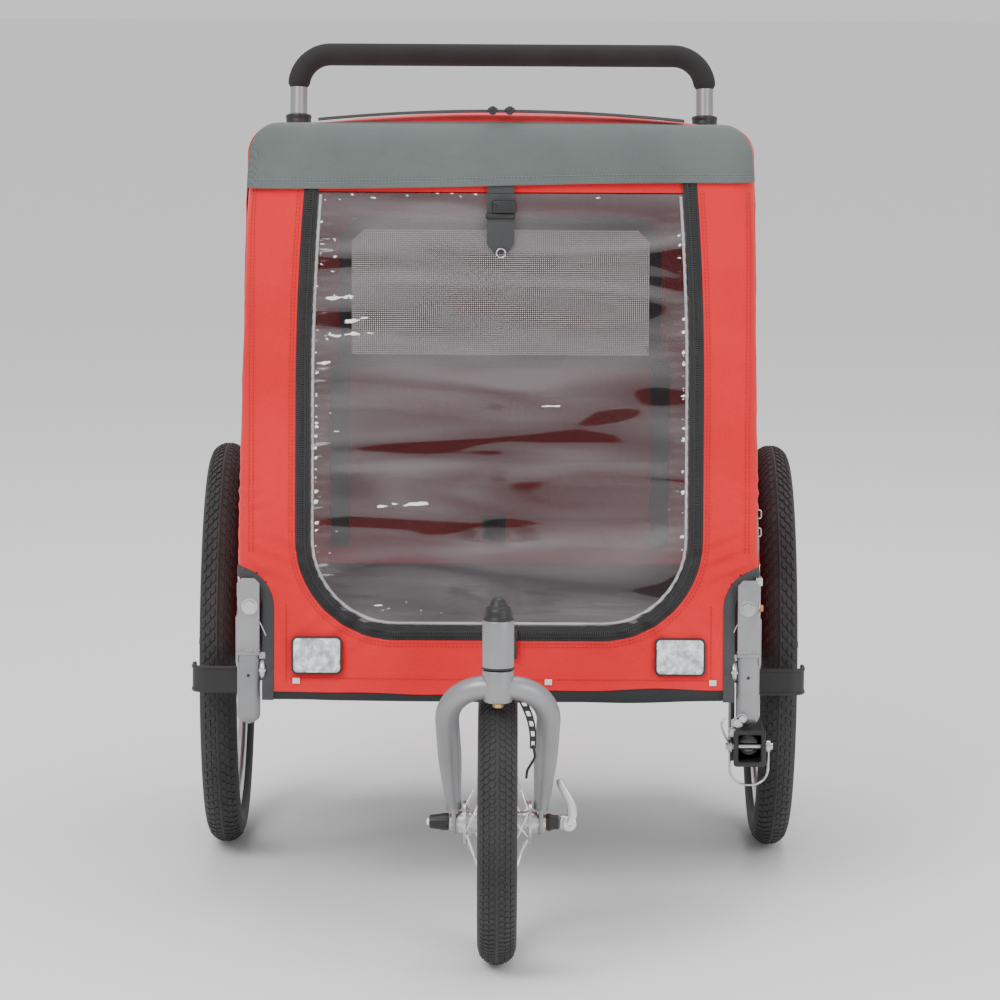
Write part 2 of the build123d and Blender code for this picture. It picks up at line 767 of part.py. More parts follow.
nodes = {
    "side_rails": side_rails(),
    "cross_tubes": cross_tubes(),
    "front_bracket_left": front_bracket(),
    "front_bracket_right": on_side(front_bracket(), "right"),
    "rear_brackets": both(rear_bracket()),
    "pivot_bolts": pivot_bolts(),
    "hoop_left": hoop("left"),
    "hoop_right": hoop("right"),
    "axle_receivers": axle_receivers(),
    "wheel_guards": wheel_guards(),
    "arm_socket": arm_socket(),
    "floor_panel": floor_panel(),
    "bracket_latches": bracket_latches(),
    "tow_receiver": tow_receiver(),
    "hitch_pin": hitch_pin(),
    "hitch_bail": hitch_bail(),
    "front_arm": front_arm(),
    "head_tube": head_tube(),
    "head_cap": head_cap(),
    "fork": fork(),
    "skewer": skewer(),
    "fork_strap": fork_strap(),
    "cover_front": cover_front(),
    "cover_left": cover_side(),
    "cover_right": on_side(cover_side(), "right"),
    "cover_roof": cover_roof(),
    "window_zipper": window_zipper(),
    "window_panel": window_panel(),
    "window_pull": window_pull(),
    "front_flap": front_flap(),
    "roof_zipper": roof_zipper(),
    "roof_pull_left": roof_pull("left"),
    "roof_pull_right": roof_pull("right"),
    "front_reflectors": front_reflectors(),
    "handle_posts": handle_posts(),
    "post_collars": post_collars(),
    "handlebar": handlebar(),
    "handle_grip": handle_grip(),
}
nodes["skewer_ends"], nodes["qr_lever"] = quick_release()
nodes["front_strap"], nodes["strap_toggle"] = front_strap()
nodes["cover_rear"], nodes["rear_mesh"] = cover_rear()
nodes.update(front_wheel())
for side_name in sides:
    nodes.update(rear_wheel(side_name))

os.makedirs("parts", exist_ok=True)
for name, shape in nodes.items():
    export_step(shape, f"parts/{name}.step")
print(len(nodes), "nodes")
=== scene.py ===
import math

import bpy
from mathutils import Matrix, Vector, noise


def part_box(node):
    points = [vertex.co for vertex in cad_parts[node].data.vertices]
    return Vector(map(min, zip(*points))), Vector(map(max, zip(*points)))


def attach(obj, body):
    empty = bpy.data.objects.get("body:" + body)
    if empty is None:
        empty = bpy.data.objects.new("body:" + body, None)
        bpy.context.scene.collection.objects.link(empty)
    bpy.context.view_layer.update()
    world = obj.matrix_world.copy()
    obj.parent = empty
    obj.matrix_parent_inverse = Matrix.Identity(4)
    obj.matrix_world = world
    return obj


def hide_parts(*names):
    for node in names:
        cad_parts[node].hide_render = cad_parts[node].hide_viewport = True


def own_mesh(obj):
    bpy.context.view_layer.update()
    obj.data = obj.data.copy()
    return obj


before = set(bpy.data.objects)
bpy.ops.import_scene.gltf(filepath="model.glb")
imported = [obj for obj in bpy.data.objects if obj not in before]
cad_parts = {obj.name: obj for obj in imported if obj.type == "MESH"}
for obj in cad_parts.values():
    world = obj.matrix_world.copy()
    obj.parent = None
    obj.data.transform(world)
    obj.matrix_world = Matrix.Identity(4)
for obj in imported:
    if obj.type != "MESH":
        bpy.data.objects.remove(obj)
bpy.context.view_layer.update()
print("frame loaded")


# camera, floor and light
cameraSetup = {
    "distance": 5.87,  # from the rear axle, level
    "height": 1.215,
    "side": 0.0033,
    "pitch": 7.61,
    "roll": 0.3,
    "yaw": 0.025,
    "lens": 170.9,
}
axleLow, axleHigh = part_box("axle_left")
axleY = (axleLow.y + axleHigh.y) / 2


def deselectAll():
    if bpy.context.object and bpy.context.object.mode != "OBJECT":
        bpy.ops.object.mode_set(mode="OBJECT")
    bpy.ops.object.select_all(action="DESELECT")


def pick(obj):
    deselectAll()
    obj.select_set(True)
    bpy.context.view_layer.objects.active = obj


def makeCamera(setup):
    deselectAll()
    place = (setup["side"], axleY - setup["distance"], setup["height"])
    tilt = math.radians(90 - setup["pitch"])
    bpy.ops.object.camera_add(location=place, rotation=(tilt, 0, math.radians(setup["yaw"])))
    camera = bpy.context.object
    camera.name = "camera"
    camera.rotation_euler.rotate_axis("Z", math.radians(setup["roll"]))
    camera.data.lens = setup["lens"]
    camera.data.sensor_width = 36
    bpy.context.scene.camera = camera


def makeStage():
    deselectAll()
    bpy.ops.mesh.primitive_plane_add(size=40, location=(0, 12, -0.0005))
    floor = bpy.context.object
    floor.name = "floor"
    paint = bpy.data.materials.new("paleFloor")
    paint.use_nodes = True
    shader = paint.node_tree.nodes["Principled BSDF"]
    shader.inputs["Base Color"].default_value = (0.92, 0.92, 0.92, 1)
    shader.inputs["Roughness"].default_value = 0.9
    floor.data.materials.append(paint)
    world = bpy.data.worlds.new("studio")
    world.use_nodes = True
    world.node_tree.nodes["Background"].inputs["Color"].default_value = (1, 1, 1, 1)
    world.node_tree.nodes["Background"].inputs["Strength"].default_value = 0.85
    bpy.context.scene.world = world
    lamps = {
        "key": {"at": (-1.9, -3.2, 3.4), "size": 2.2, "power": 120},
        "fill": {"at": (2.8, -3.0, 1.8), "size": 2.0, "power": 45},
        "top": {"at": (0.2, 1.2, 4.0), "size": 2.6, "power": 70},
    }
    for name, lamp in lamps.items():
        bpy.ops.object.light_add(type="AREA", location=lamp["at"])
        light = bpy.context.object
        light.name = name
        light.data.size = lamp["size"]
        light.data.energy = lamp["power"]
        aim = Vector((0, 0, 0.5)) - light.location
        light.rotation_euler = aim.to_track_quat("-Z", "Y").to_euler()


makeCamera(cameraSetup)
makeStage()
print("camera and light placed")


# shader groups: each puts out a mask, a height or a colour that varies over the surface
def newGroup(name, inputs, outputs):
    group = bpy.data.node_groups.new(name, "ShaderNodeTree")
    for label, kind, value in inputs:
        socket = group.interface.new_socket(label, in_out="INPUT", socket_type=kind)
        if value is not None:
            socket.default_value = value
    for label, kind in outputs:
        group.interface.new_socket(label, in_out="OUTPUT", socket_type=kind)
    start = group.nodes.new("NodeGroupInput")
    end = group.nodes.new("NodeGroupOutput")
    return group, start, end


def mathNode(tree, operation, a, b=None, c=None):
    node = tree.nodes.new("ShaderNodeMath")
    node.operation = operation
    for index, value in enumerate((a, b, c)):
        if value is None:
            continue
        if isinstance(value, (int, float)):
            node.inputs[index].default_value = value
        else:
            tree.links.new(value, node.inputs[index])
    return node.outputs[0]


def makeWeaveGroup():
    inputs = [
        ("Vector", "NodeSocketVector", None),
        ("Threads", "NodeSocketFloat", 800.0),
        ("Twill", "NodeSocketFloat", 0.0),
    ]
    outputs = [("Height", "NodeSocketFloat"), ("Shade", "NodeSocketFloat")]
    group, start, end = newGroup("clothWeave", inputs, outputs)
    split = group.nodes.new("ShaderNodeSeparateXYZ")
    group.links.new(start.outputs["Vector"], split.inputs[0])
    across = mathNode(group, "ADD", split.outputs["X"], split.outputs["Y"])
    tilt = mathNode(group, "MULTIPLY", split.outputs["Z"], start.outputs["Twill"])
    across = mathNode(group, "ADD", across, tilt)
    waves = []
    for value in (across, split.outputs["Z"]):
        turns = mathNode(group, "MULTIPLY", value, start.outputs["Threads"])
        turns = mathNode(group, "MULTIPLY", turns, 2 * math.pi)
        waves.append(mathNode(group, "SINE", turns))
    product = mathNode(group, "MULTIPLY", waves[0], waves[1])
    height = mathNode(group, "MULTIPLY_ADD", product, 0.5, 0.5)
    speck = group.nodes.new("ShaderNodeTexNoise")
    speck.inputs["Scale"].default_value = 900
    speck.inputs["Detail"].default_value = 2
    group.links.new(start.outputs["Vector"], speck.inputs["Vector"])
    blend = mathNode(group, "MULTIPLY_ADD", speck.outputs[0], 0.9, -0.45)
    total = mathNode(group, "ADD", height, blend)
    group.links.new(total, end.inputs["Height"])
    cloud = group.nodes.new("ShaderNodeTexNoise")
    cloud.inputs["Scale"].default_value = 7
    cloud.inputs["Detail"].default_value = 5
    group.links.new(start.outputs["Vector"], cloud.inputs["Vector"])
    shade = mathNode(group, "MULTIPLY_ADD", total, 0.35, mathNode(group, "MULTIPLY", cloud.outputs[0], 0.6))
    group.links.new(shade, end.inputs["Shade"])
    return group


def makeGrainGroup():
    inputs = [
        ("Vector", "NodeSocketVector", None), ("Fine", "NodeSocketFloat", 400.0),
        ("Broad", "NodeSocketFloat", 12.0),
    ]
    outputs = [("Height", "NodeSocketFloat"), ("Cloud", "NodeSocketFloat")]
    group, start, end = newGroup("surfaceGrain", inputs, outputs)
    fine = group.nodes.new("ShaderNodeTexNoise")
    fine.inputs["Detail"].default_value = 3
    broad = group.nodes.new("ShaderNodeTexNoise")
    broad.inputs["Detail"].default_value = 6
    for node, label in ((fine, "Fine"), (broad, "Broad")):
        group.links.new(start.outputs["Vector"], node.inputs["Vector"])
        group.links.new(start.outputs[label], node.inputs["Scale"])
    group.links.new(fine.outputs[0], end.inputs["Height"])
    group.links.new(broad.outputs[0], end.inputs["Cloud"])
    return group


def makeEdgeGroup():
    # how much a spot is worn, from the shape's convex edges and a noise
    inputs = [("Vector", "NodeSocketVector", None), ("Amount", "NodeSocketFloat", 0.5)]
    group, start, end = newGroup("edgeWear", inputs, [("Mask", "NodeSocketFloat")])
    geometry = group.nodes.new("ShaderNodeNewGeometry")
    patch = group.nodes.new("ShaderNodeTexNoise")
    patch.inputs["Scale"].default_value = 60
    patch.inputs["Detail"].default_value = 5
    group.links.new(start.outputs["Vector"], patch.inputs["Vector"])
    edge = mathNode(group, "SUBTRACT", geometry.outputs["Pointiness"], 0.52)
    edge = mathNode(group, "MULTIPLY", edge, 14.0)
    mixed = mathNode(group, "MULTIPLY", edge, patch.outputs[0])
    scaled = mathNode(group, "MULTIPLY", mixed, start.outputs["Amount"])
    clamp = group.nodes.new("ShaderNodeClamp")
    group.links.new(scaled, clamp.inputs[0])
    group.links.new(clamp.outputs[0], end.inputs["Mask"])
    return group


weaveGroup = makeWeaveGroup()
grainGroup = makeGrainGroup()
edgeGroup = makeEdgeGroup()


def startMaterial(name, roughness, metallic=0.0):
    material = bpy.data.materials.new(name)
    material.use_nodes = True
    tree = material.node_tree
    shader = tree.nodes["Principled BSDF"]
    shader.inputs["Roughness"].default_value = roughness
    shader.inputs["Metallic"].default_value = metallic
    coords = tree.nodes.new("ShaderNodeTexCoord")
    return material, tree, shader, coords.outputs["Object"]


def addGroup(tree, group, vector, **values):
    node = tree.nodes.new("ShaderNodeGroup")
    node.node_tree = group
    tree.links.new(vector, node.inputs["Vector"])
    for label, value in values.items():
        node.inputs[label].default_value = value
    return node


def colourRamp(tree, factor, stops):
    ramp = tree.nodes.new("ShaderNodeValToRGB")
    ramp.color_ramp.elements[0].position = stops[0][0]
    ramp.color_ramp.elements[0].color = (*stops[0][1], 1)
    ramp.color_ramp.elements[1].position = stops[-1][0]
    ramp.color_ramp.elements[1].color = (*stops[-1][1], 1)
    for position, colour in stops[1:-1]:
        element = ramp.color_ramp.elements.new(position)
        element.color = (*colour, 1)
    tree.links.new(factor, ramp.inputs[0])
    return ramp.outputs[0]


def addBump(tree, shader, height, strength, distance, under=None):
    bump = tree.nodes.new("ShaderNodeBump")
    bump.inputs["Strength"].default_value = strength
    bump.inputs["Distance"].default_value = distance
    tree.links.new(height, bump.inputs["Height"])
    if under is not None:
        tree.links.new(under, bump.inputs["Normal"])
    tree.links.new(bump.outputs[0], shader.inputs["Normal"])
    return bump.outputs[0]


def clothMaterial(name, dark, light, threads=620.0, twill=0.0, roughness=0.82, sheen=0.25, turn=None):
    material, tree, shader, coords = startMaterial(name, roughness)
    if turn is not None:
        mapping = tree.nodes.new("ShaderNodeMapping")
        mapping.inputs["Rotation"].default_value = turn
        tree.links.new(coords, mapping.inputs["Vector"])
        coords = mapping.outputs[0]
    weave = addGroup(tree, weaveGroup, coords, Threads=threads, Twill=twill)
    colour = colourRamp(tree, weave.outputs["Shade"], [(0.25, dark), (0.8, light)])
    tree.links.new(colour, shader.inputs["Base Color"])
    shader.inputs["Sheen Weight"].default_value = sheen
    shader.inputs["Sheen Roughness"].default_value = 0.4
    shader.inputs["Specular IOR Level"].default_value = 0.3
    creases = tree.nodes.new("ShaderNodeTexNoise")
    creases.inputs["Scale"].default_value = 16
    creases.inputs["Detail"].default_value = 4
    creases.inputs["Distortion"].default_value = 0.6
    tree.links.new(coords, creases.inputs["Vector"])
    soft = addBump(tree, shader, creases.outputs[0], 0.35, 0.01)
    addBump(tree, shader, weave.outputs["Height"], 0.35, 0.0006, soft)
    return material


def paintMaterial(name, dark, light, roughness=0.38, metallic=0.55, wear=0.5):
    material, tree, shader, coords = startMaterial(name, roughness, metallic)
    grain = addGroup(tree, grainGroup, coords, Fine=900.0, Broad=9.0)
    base = colourRamp(tree, grain.outputs["Cloud"], [(0.3, dark), (0.7, light)])
    worn = addGroup(tree, edgeGroup, coords, Amount=wear)
    mix = tree.nodes.new("ShaderNodeMix")
    mix.data_type = "RGBA"
    tree.links.new(worn.outputs["Mask"], mix.inputs["Factor"])
    tree.links.new(base, mix.inputs["A"])
    mix.inputs["B"].default_value = tuple(min(1, c * 1.35) for c in light) + (1,)
    tree.links.new(mix.outputs["Result"], shader.inputs["Base Color"])
    rough = tree.nodes.new("ShaderNodeMapRange")
    rough.inputs["To Min"].default_value = roughness - 0.07
    rough.inputs["To Max"].default_value = roughness + 0.09
    tree.links.new(grain.outputs["Cloud"], rough.inputs["Value"])
    tree.links.new(rough.outputs[0], shader.inputs["Roughness"])
    addBump(tree, shader, grain.outputs["Height"], 0.12, 0.0004)
    return material


def rubberMaterial(name, dark, light, fine=500.0, roughness=0.72, strength=0.35, depth=0.0006):
    material, tree, shader, coords = startMaterial(name, roughness)
    grain = addGroup(tree, grainGroup, coords, Fine=fine, Broad=18.0)
    colour = colourRamp(tree, grain.outputs["Cloud"], [(0.3, dark), (0.75, light)])
    tree.links.new(colour, shader.inputs["Base Color"])
    rough = tree.nodes.new("ShaderNodeMapRange")
    rough.inputs["To Min"].default_value = roughness - 0.1
    rough.inputs["To Max"].default_value = min(1.0, roughness + 0.12)
    tree.links.new(grain.outputs["Cloud"], rough.inputs["Value"])
    tree.links.new(rough.outputs[0], shader.inputs["Roughness"])
    addBump(tree, shader, grain.outputs["Height"], strength, depth)
    return material


def brushedMaterial(name, dark, light, roughness, stretch):
    material, tree, shader, coords = startMaterial(name, roughness, 1.0)
    mapping = tree.nodes.new("ShaderNodeMapping")
    mapping.inputs["Scale"].default_value = stretch
    tree.links.new(coords, mapping.inputs["Vector"])
    grain = addGroup(tree, grainGroup, mapping.outputs[0], Fine=300.0, Broad=20.0)
    colour = colourRamp(tree, grain.outputs["Cloud"], [(0.3, dark), (0.7, light)])
    tree.links.new(colour, shader.inputs["Base Color"])
    rough = tree.nodes.new("ShaderNodeMapRange")
    rough.inputs["To Min"].default_value = max(0.03, roughness - 0.08)
    rough.inputs["To Max"].default_value = roughness + 0.12
    tree.links.new(grain.outputs["Height"], rough.inputs["Value"])
    tree.links.new(rough.outputs[0], shader.inputs["Roughness"])
    addBump(tree, shader, grain.outputs["Height"], 0.1, 0.0002)
    return material


def netMaterial(name, colour, pitch, gap):
    # an open net: threads both ways, holes between them
    material, tree, shader, coords = startMaterial(name, 0.7)
    split = tree.nodes.new("ShaderNodeSeparateXYZ")
    tree.links.new(coords, split.inputs[0])
    holes = []
    for axis in ("X", "Z"):
        turns = mathNode(tree, "MULTIPLY", split.outputs[axis], 2 * math.pi / pitch)
        wave = mathNode(tree, "SINE", turns)
        holes.append(mathNode(tree, "GREATER_THAN", wave, gap))
    solid = mathNode(tree, "MULTIPLY", holes[0], holes[1])
    alpha = mathNode(tree, "SUBTRACT", 1.0, solid)
    tree.links.new(alpha, shader.inputs["Alpha"])
    grain = addGroup(tree, grainGroup, coords, Fine=700.0, Broad=14.0)
    tint = colourRamp(tree, grain.outputs["Cloud"], [(0.3, tuple(c * 0.82 for c in colour)), (0.7, colour)])
    tree.links.new(tint, shader.inputs["Base Color"])
    addBump(tree, shader, grain.outputs["Height"], 0.3, 0.0004)
    return material


def vinylMaterial(name):
    # clear sheet with a painted reflection of the room: alpha and a grey tint in long bands with sharp
    # edges,
    # and painted highlights: white, nearly opaque glints
    material, tree, shader, coords = startMaterial(name, 0.09)
    mapping = tree.nodes.new("ShaderNodeMapping")
    mapping.inputs["Scale"].default_value = (2.0, 1.0, 11.0)
    mapping.inputs["Rotation"].default_value = (0, math.radians(-7), 0)
    tree.links.new(coords, mapping.inputs["Vector"])
    band = tree.nodes.new("ShaderNodeTexNoise")
    band.inputs["Scale"].default_value = 1.7
    band.inputs["Detail"].default_value = 1.2
    band.inputs["Distortion"].default_value = 0.8
    tree.links.new(mapping.outputs[0], band.inputs["Vector"])
    sharp = tree.nodes.new("ShaderNodeMapRange")
    sharp.interpolation_type = "SMOOTHSTEP"
    sharp.inputs["From Min"].default_value = 0.395
    sharp.inputs["From Max"].default_value = 0.412
    sharp.inputs["To Min"].default_value = 0.25
    tree.links.new(band.outputs[0], sharp.inputs["Value"])
    soft = tree.nodes.new("ShaderNodeMapRange")
    soft.inputs["From Min"].default_value = 0.38
    soft.inputs["From Max"].default_value = 0.72
    soft.inputs["To Min"].default_value = 0.24
    soft.inputs["To Max"].default_value = 0.5
    tree.links.new(band.outputs[0], soft.inputs["Value"])
    # painted reflection of the room: how opaque the sheet is along the bands
    paintedRoomReflection = mathNode(tree, "MULTIPLY", sharp.outputs[0], soft.outputs[0])
    # painted highlights: the glint attribute plus fine noise spots make the sheet white and nearly opaque
    spread = tree.nodes.new("ShaderNodeAttribute")
    spread.attribute_name = "glint"
    stretched = tree.nodes.new("ShaderNodeMapping")
    stretched.inputs["Scale"].default_value = (1.0, 1.0, 2.6)
    tree.links.new(coords, stretched.inputs["Vector"])
    spots = tree.nodes.new("ShaderNodeTexNoise")
    spots.inputs["Scale"].default_value = 95
    spots.inputs["Detail"].default_value = 1.0
    tree.links.new(stretched.outputs[0], spots.inputs["Vector"])
    level = mathNode(
        tree, "MULTIPLY_ADD", spread.outputs["Fac"], 0.42,
        mathNode(tree, "MULTIPLY", spots.outputs[0], 1.0),
    )
    paintedShine = tree.nodes.new("ShaderNodeMapRange")
    paintedShine.interpolation_type = "SMOOTHSTEP"
    paintedShine.inputs["From Min"].default_value = 0.92
    paintedShine.inputs["From Max"].default_value = 0.97
    tree.links.new(level, paintedShine.inputs["Value"])
    alpha = mathNode(tree, "MAXIMUM", paintedRoomReflection, mathNode(tree, "MULTIPLY", paintedShine.outputs[0], 0.95))
    tree.links.new(alpha, shader.inputs["Alpha"])
    # painted reflection of the room: grey tint, lighter and darker along the bands
    tint = colourRamp(tree, band.outputs[0], [(0.38, (0.1, 0.088, 0.094)), (0.7, (0.21, 0.195, 0.205))])
    # painted highlight colour, near white, where the glints are
    mix = tree.nodes.new("ShaderNodeMix")
    mix.data_type = "RGBA"
    tree.links.new(paintedShine.outputs[0], mix.inputs["Factor"])
    tree.links.new(tint, mix.inputs["A"])
    mix.inputs["B"].default_value = (0.95, 0.95, 0.97, 1)
    tree.links.new(mix.outputs["Result"], shader.inputs["Base Color"])
    shader.inputs["Specular IOR Level"].default_value = 0.7
    shader.inputs["Coat Weight"].default_value = 0.8
    shader.inputs["Coat Roughness"].default_value = 0.05
    ripple = tree.nodes.new("ShaderNodeTexNoise")
    ripple.inputs["Scale"].default_value = 9
    ripple.inputs["Detail"].default_value = 2
    tree.links.new(mapping.outputs[0], ripple.inputs["Vector"])
    addBump(tree, shader, ripple.outputs[0], 0.25, 0.004)
    return material


def zipperMaterial(name):
    # twill tape with two rows of coil, from the strip's own map: X across, Y along in metres
    material, tree, shader, coords = startMaterial(name, 0.6)
    uv = tree.nodes.new("ShaderNodeUVMap")
    uv.uv_map = "UVMap"
    split = tree.nodes.new("ShaderNodeSeparateXYZ")
    tree.links.new(uv.outputs[0], split.inputs[0])
    coil = mathNode(tree, "SINE", mathNode(tree, "MULTIPLY", split.outputs["Y"], 2 * math.pi / 0.0024))
    rows = mathNode(tree, "SINE", mathNode(tree, "MULTIPLY", split.outputs["X"], 2 * math.pi / 0.0022))
    height = mathNode(tree, "ADD", coil, rows)
    grain = addGroup(tree, grainGroup, coords, Fine=800.0, Broad=22.0)
    colour = colourRamp(
        tree, grain.outputs["Cloud"], [(0.3, (0.007, 0.007, 0.008)), (0.75, (0.018, 0.019, 0.02))],
    )
    tree.links.new(colour, shader.inputs["Base Color"])
    addBump(tree, shader, height, 0.5, 0.0004)
    return material


def reflectorMaterial(name):
    material, tree, shader, coords = startMaterial(name, 0.16)
    cells = tree.nodes.new("ShaderNodeTexVoronoi")
    cells.inputs["Scale"].default_value = 330
    tree.links.new(coords, cells.inputs["Vector"])
    paintedSparkle = tree.nodes.new("ShaderNodeTexNoise")
    paintedSparkle.inputs["Scale"].default_value = 140
    paintedSparkle.inputs["Detail"].default_value = 4
    tree.links.new(coords, paintedSparkle.inputs["Vector"])
    # the lens grey is its own; noise spots lighter up to near white are a painted sparkle of the prisms
    colour = colourRamp(
        tree, paintedSparkle.outputs[0],
        [(0.34, (0.34, 0.35, 0.38)), (0.52, (0.62, 0.64, 0.67)), (0.66, (0.95, 0.96, 1.0))],
    )
    tree.links.new(colour, shader.inputs["Base Color"])
    shader.inputs["Coat Weight"].default_value = 1.0
    shader.inputs["Coat Roughness"].default_value = 0.05
    addBump(tree, shader, cells.outputs["Distance"], 0.8, 0.0012)
    return material


finish = {
    "red": clothMaterial("redCloth", (0.62, 0.006, 0.012), (0.93, 0.02, 0.03)),
    "roofRed": clothMaterial(
        "redRoofCloth", (0.62, 0.006, 0.012), (0.93, 0.02, 0.03), turn=(math.radians(90), 0, 0),
    ),
    "twill": clothMaterial(
        "greyTwill", (0.085, 0.1, 0.096), (0.16, 0.185, 0.178), threads=520.0, twill=1.0, sheen=0.15,
    ),
    "trim": clothMaterial(
        "darkTrimCloth", (0.015, 0.017, 0.018), (0.043, 0.046, 0.049), threads=560.0, sheen=0.1,
    ),
    "lining": clothMaterial(
        "floorCloth", (0.045, 0.046, 0.05), (0.1, 0.102, 0.108), threads=500.0,
        turn=(math.radians(90), 0, 0), sheen=0.1,
    ),
    "webbing": clothMaterial(
        "strapWebbing", (0.03, 0.031, 0.033), (0.09, 0.092, 0.096), threads=450.0, twill=0.5, sheen=0.1,
    ),
    "net": netMaterial("windowNet", (0.46, 0.43, 0.37), 0.0026, -0.1),
    "vinyl": vinylMaterial("clearVinyl"),
    "zipper": zipperMaterial("zipperTape"),
    "reflector": reflectorMaterial("prismReflector"),
    "silver": paintMaterial("silverPowderCoat", (0.235, 0.238, 0.245), (0.33, 0.333, 0.342)),
    "steel": brushedMaterial("zincSteel", (0.42, 0.42, 0.43), (0.68, 0.68, 0.7), 0.28, (1, 1, 1)),
    "chrome": brushedMaterial("brightChrome", (0.72, 0.72, 0.74), (0.86, 0.86, 0.88), 0.1, (1, 1, 1)),
    "alloy": brushedMaterial("turnedAlloy", (0.5, 0.51, 0.52), (0.7, 0.71, 0.72), 0.3, (6, 1, 1)),
    "brass": brushedMaterial("warmBrass", (0.42, 0.25, 0.08), (0.72, 0.48, 0.18), 0.3, (1, 1, 1)),
    "tyre": rubberMaterial(
        "tyreRubber", (0.013, 0.013, 0.013), (0.032, 0.032, 0.033), fine=600.0, roughness=0.68,
    ),
    "rubber": rubberMaterial(
        "blackRubber", (0.008, 0.008, 0.009), (0.02, 0.02, 0.021), fine=700.0, roughness=0.42,
        strength=0.15,
    ),
    "foam": rubberMaterial(
        "gripFoam", (0.013, 0.013, 0.013), (0.025, 0.025, 0.027), fine=1100.0, roughness=0.85, strength=0.7,
        depth=0.0012,
    ),
    "plastic": rubberMaterial(
        "mouldedPlastic", (0.014, 0.014, 0.015), (0.024, 0.024, 0.025), fine=900.0, roughness=0.5,
        strength=0.5, depth=0.0005,
    ),
}
finish["thread"] = clothMaterial(
    "redThread", (0.42, 0.01, 0.014), (0.62, 0.03, 0.035), threads=1200.0, sheen=0.1,
)
finish["greyThread"] = clothMaterial(
    "greyThread", (0.16, 0.19, 0.19), (0.3, 0.34, 0.34), threads=1200.0, sheen=0.1,
)
# painted glint: the white of the small tabs in the bottom seam
finish["paintedGlintTab"] = clothMaterial(
    "paintedGlintTab", (0.62, 0.62, 0.62), (0.82, 0.82, 0.82), threads=900.0, sheen=0.1,
)
finish["piping"] = rubberMaterial(
    "palePiping", (0.34, 0.33, 0.34), (0.5, 0.49, 0.51), roughness=0.4, strength=0.1,
)
finish["satin"] = brushedMaterial("satinSteel", (0.55, 0.56, 0.57), (0.74, 0.75, 0.76), 0.3, (1, 1, 1))
finish["palePlastic"] = rubberMaterial(
    "palePlastic", (0.3, 0.31, 0.31), (0.42, 0.43, 0.43), roughness=0.45, strength=0.1,
)
finish["amber"] = rubberMaterial(
    "amberPlastic", (0.42, 0.17, 0.03), (0.6, 0.28, 0.06), roughness=0.4, strength=0.1,
)
print("materials made")


# modelling helpers
def gridPiece(name, columns, rows, shape):
    # a grid of faces, each corner put in place by shape(u, t)
    deselectAll()
    bpy.ops.mesh.primitive_grid_add(x_subdivisions=columns, y_subdivisions=rows, size=1)
    obj = bpy.context.object
    obj.name = name
    for vertex in obj.data.vertices:
        vertex.co = shape(vertex.co.x + 0.5, vertex.co.y + 0.5)
    return obj


def inEditMode(obj):
    pick(obj)
    bpy.ops.object.mode_set(mode="EDIT")
    bpy.ops.mesh.select_all(action="SELECT")


def cleanMesh(obj, gap=0.00005):
    inEditMode(obj)
    bpy.ops.mesh.remove_doubles(threshold=gap)
    bpy.ops.mesh.normals_make_consistent(inside=False)
    bpy.ops.object.mode_set(mode="OBJECT")


def applyModifier(obj, kind, **settings):
    pick(obj)
    modifier = obj.modifiers.new(kind.lower(), kind)
    for label, value in settings.items():
        setattr(modifier, label, value)
    bpy.ops.object.modifier_apply(modifier=modifier.name)
    return obj


def thicken(obj, amount, offset=-1.0):
    return applyModifier(obj, "SOLIDIFY", thickness=amount, offset=offset, use_even_offset=True)


def roundOff(obj, width, segments=2, angle=35):
    return applyModifier(
        obj, "BEVEL", width=width, segments=segments, limit_method="ANGLE", angle_limit=math.radians(angle),
    )


def joined(name, pieces):
    deselectAll()
    for piece in pieces:
        piece.select_set(True)
    bpy.context.view_layer.objects.active = pieces[0]
    if len(pieces) > 1:
        bpy.ops.object.join()
    obj = bpy.context.object
    obj.name = name
    return obj


def finishPiece(obj, name, body, material, replaced=(), angle=40):
    obj.name = name
    pick(obj)
    bpy.ops.object.transform_apply(location=True, rotation=True, scale=True)
    if angle:
        bpy.ops.object.shade_smooth_by_angle(angle=math.radians(angle))
    if material is not None:
        obj.data.materials.clear()
        obj.data.materials.append(material)
    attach(obj, body)
    if replaced:
        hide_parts(*replaced)
    return obj


def mirrorCopy(obj, name):
    # the same piece on the other side of the middle plane
    pick(obj)
    bpy.ops.object.duplicate()
    twin = bpy.context.object
    twin.name = name
    for vertex in twin.data.vertices:
        vertex.co.x = -vertex.co.x
    inEditMode(twin)
    bpy.ops.mesh.flip_normals()
    bpy.ops.object.mode_set(mode="OBJECT")
    return twin


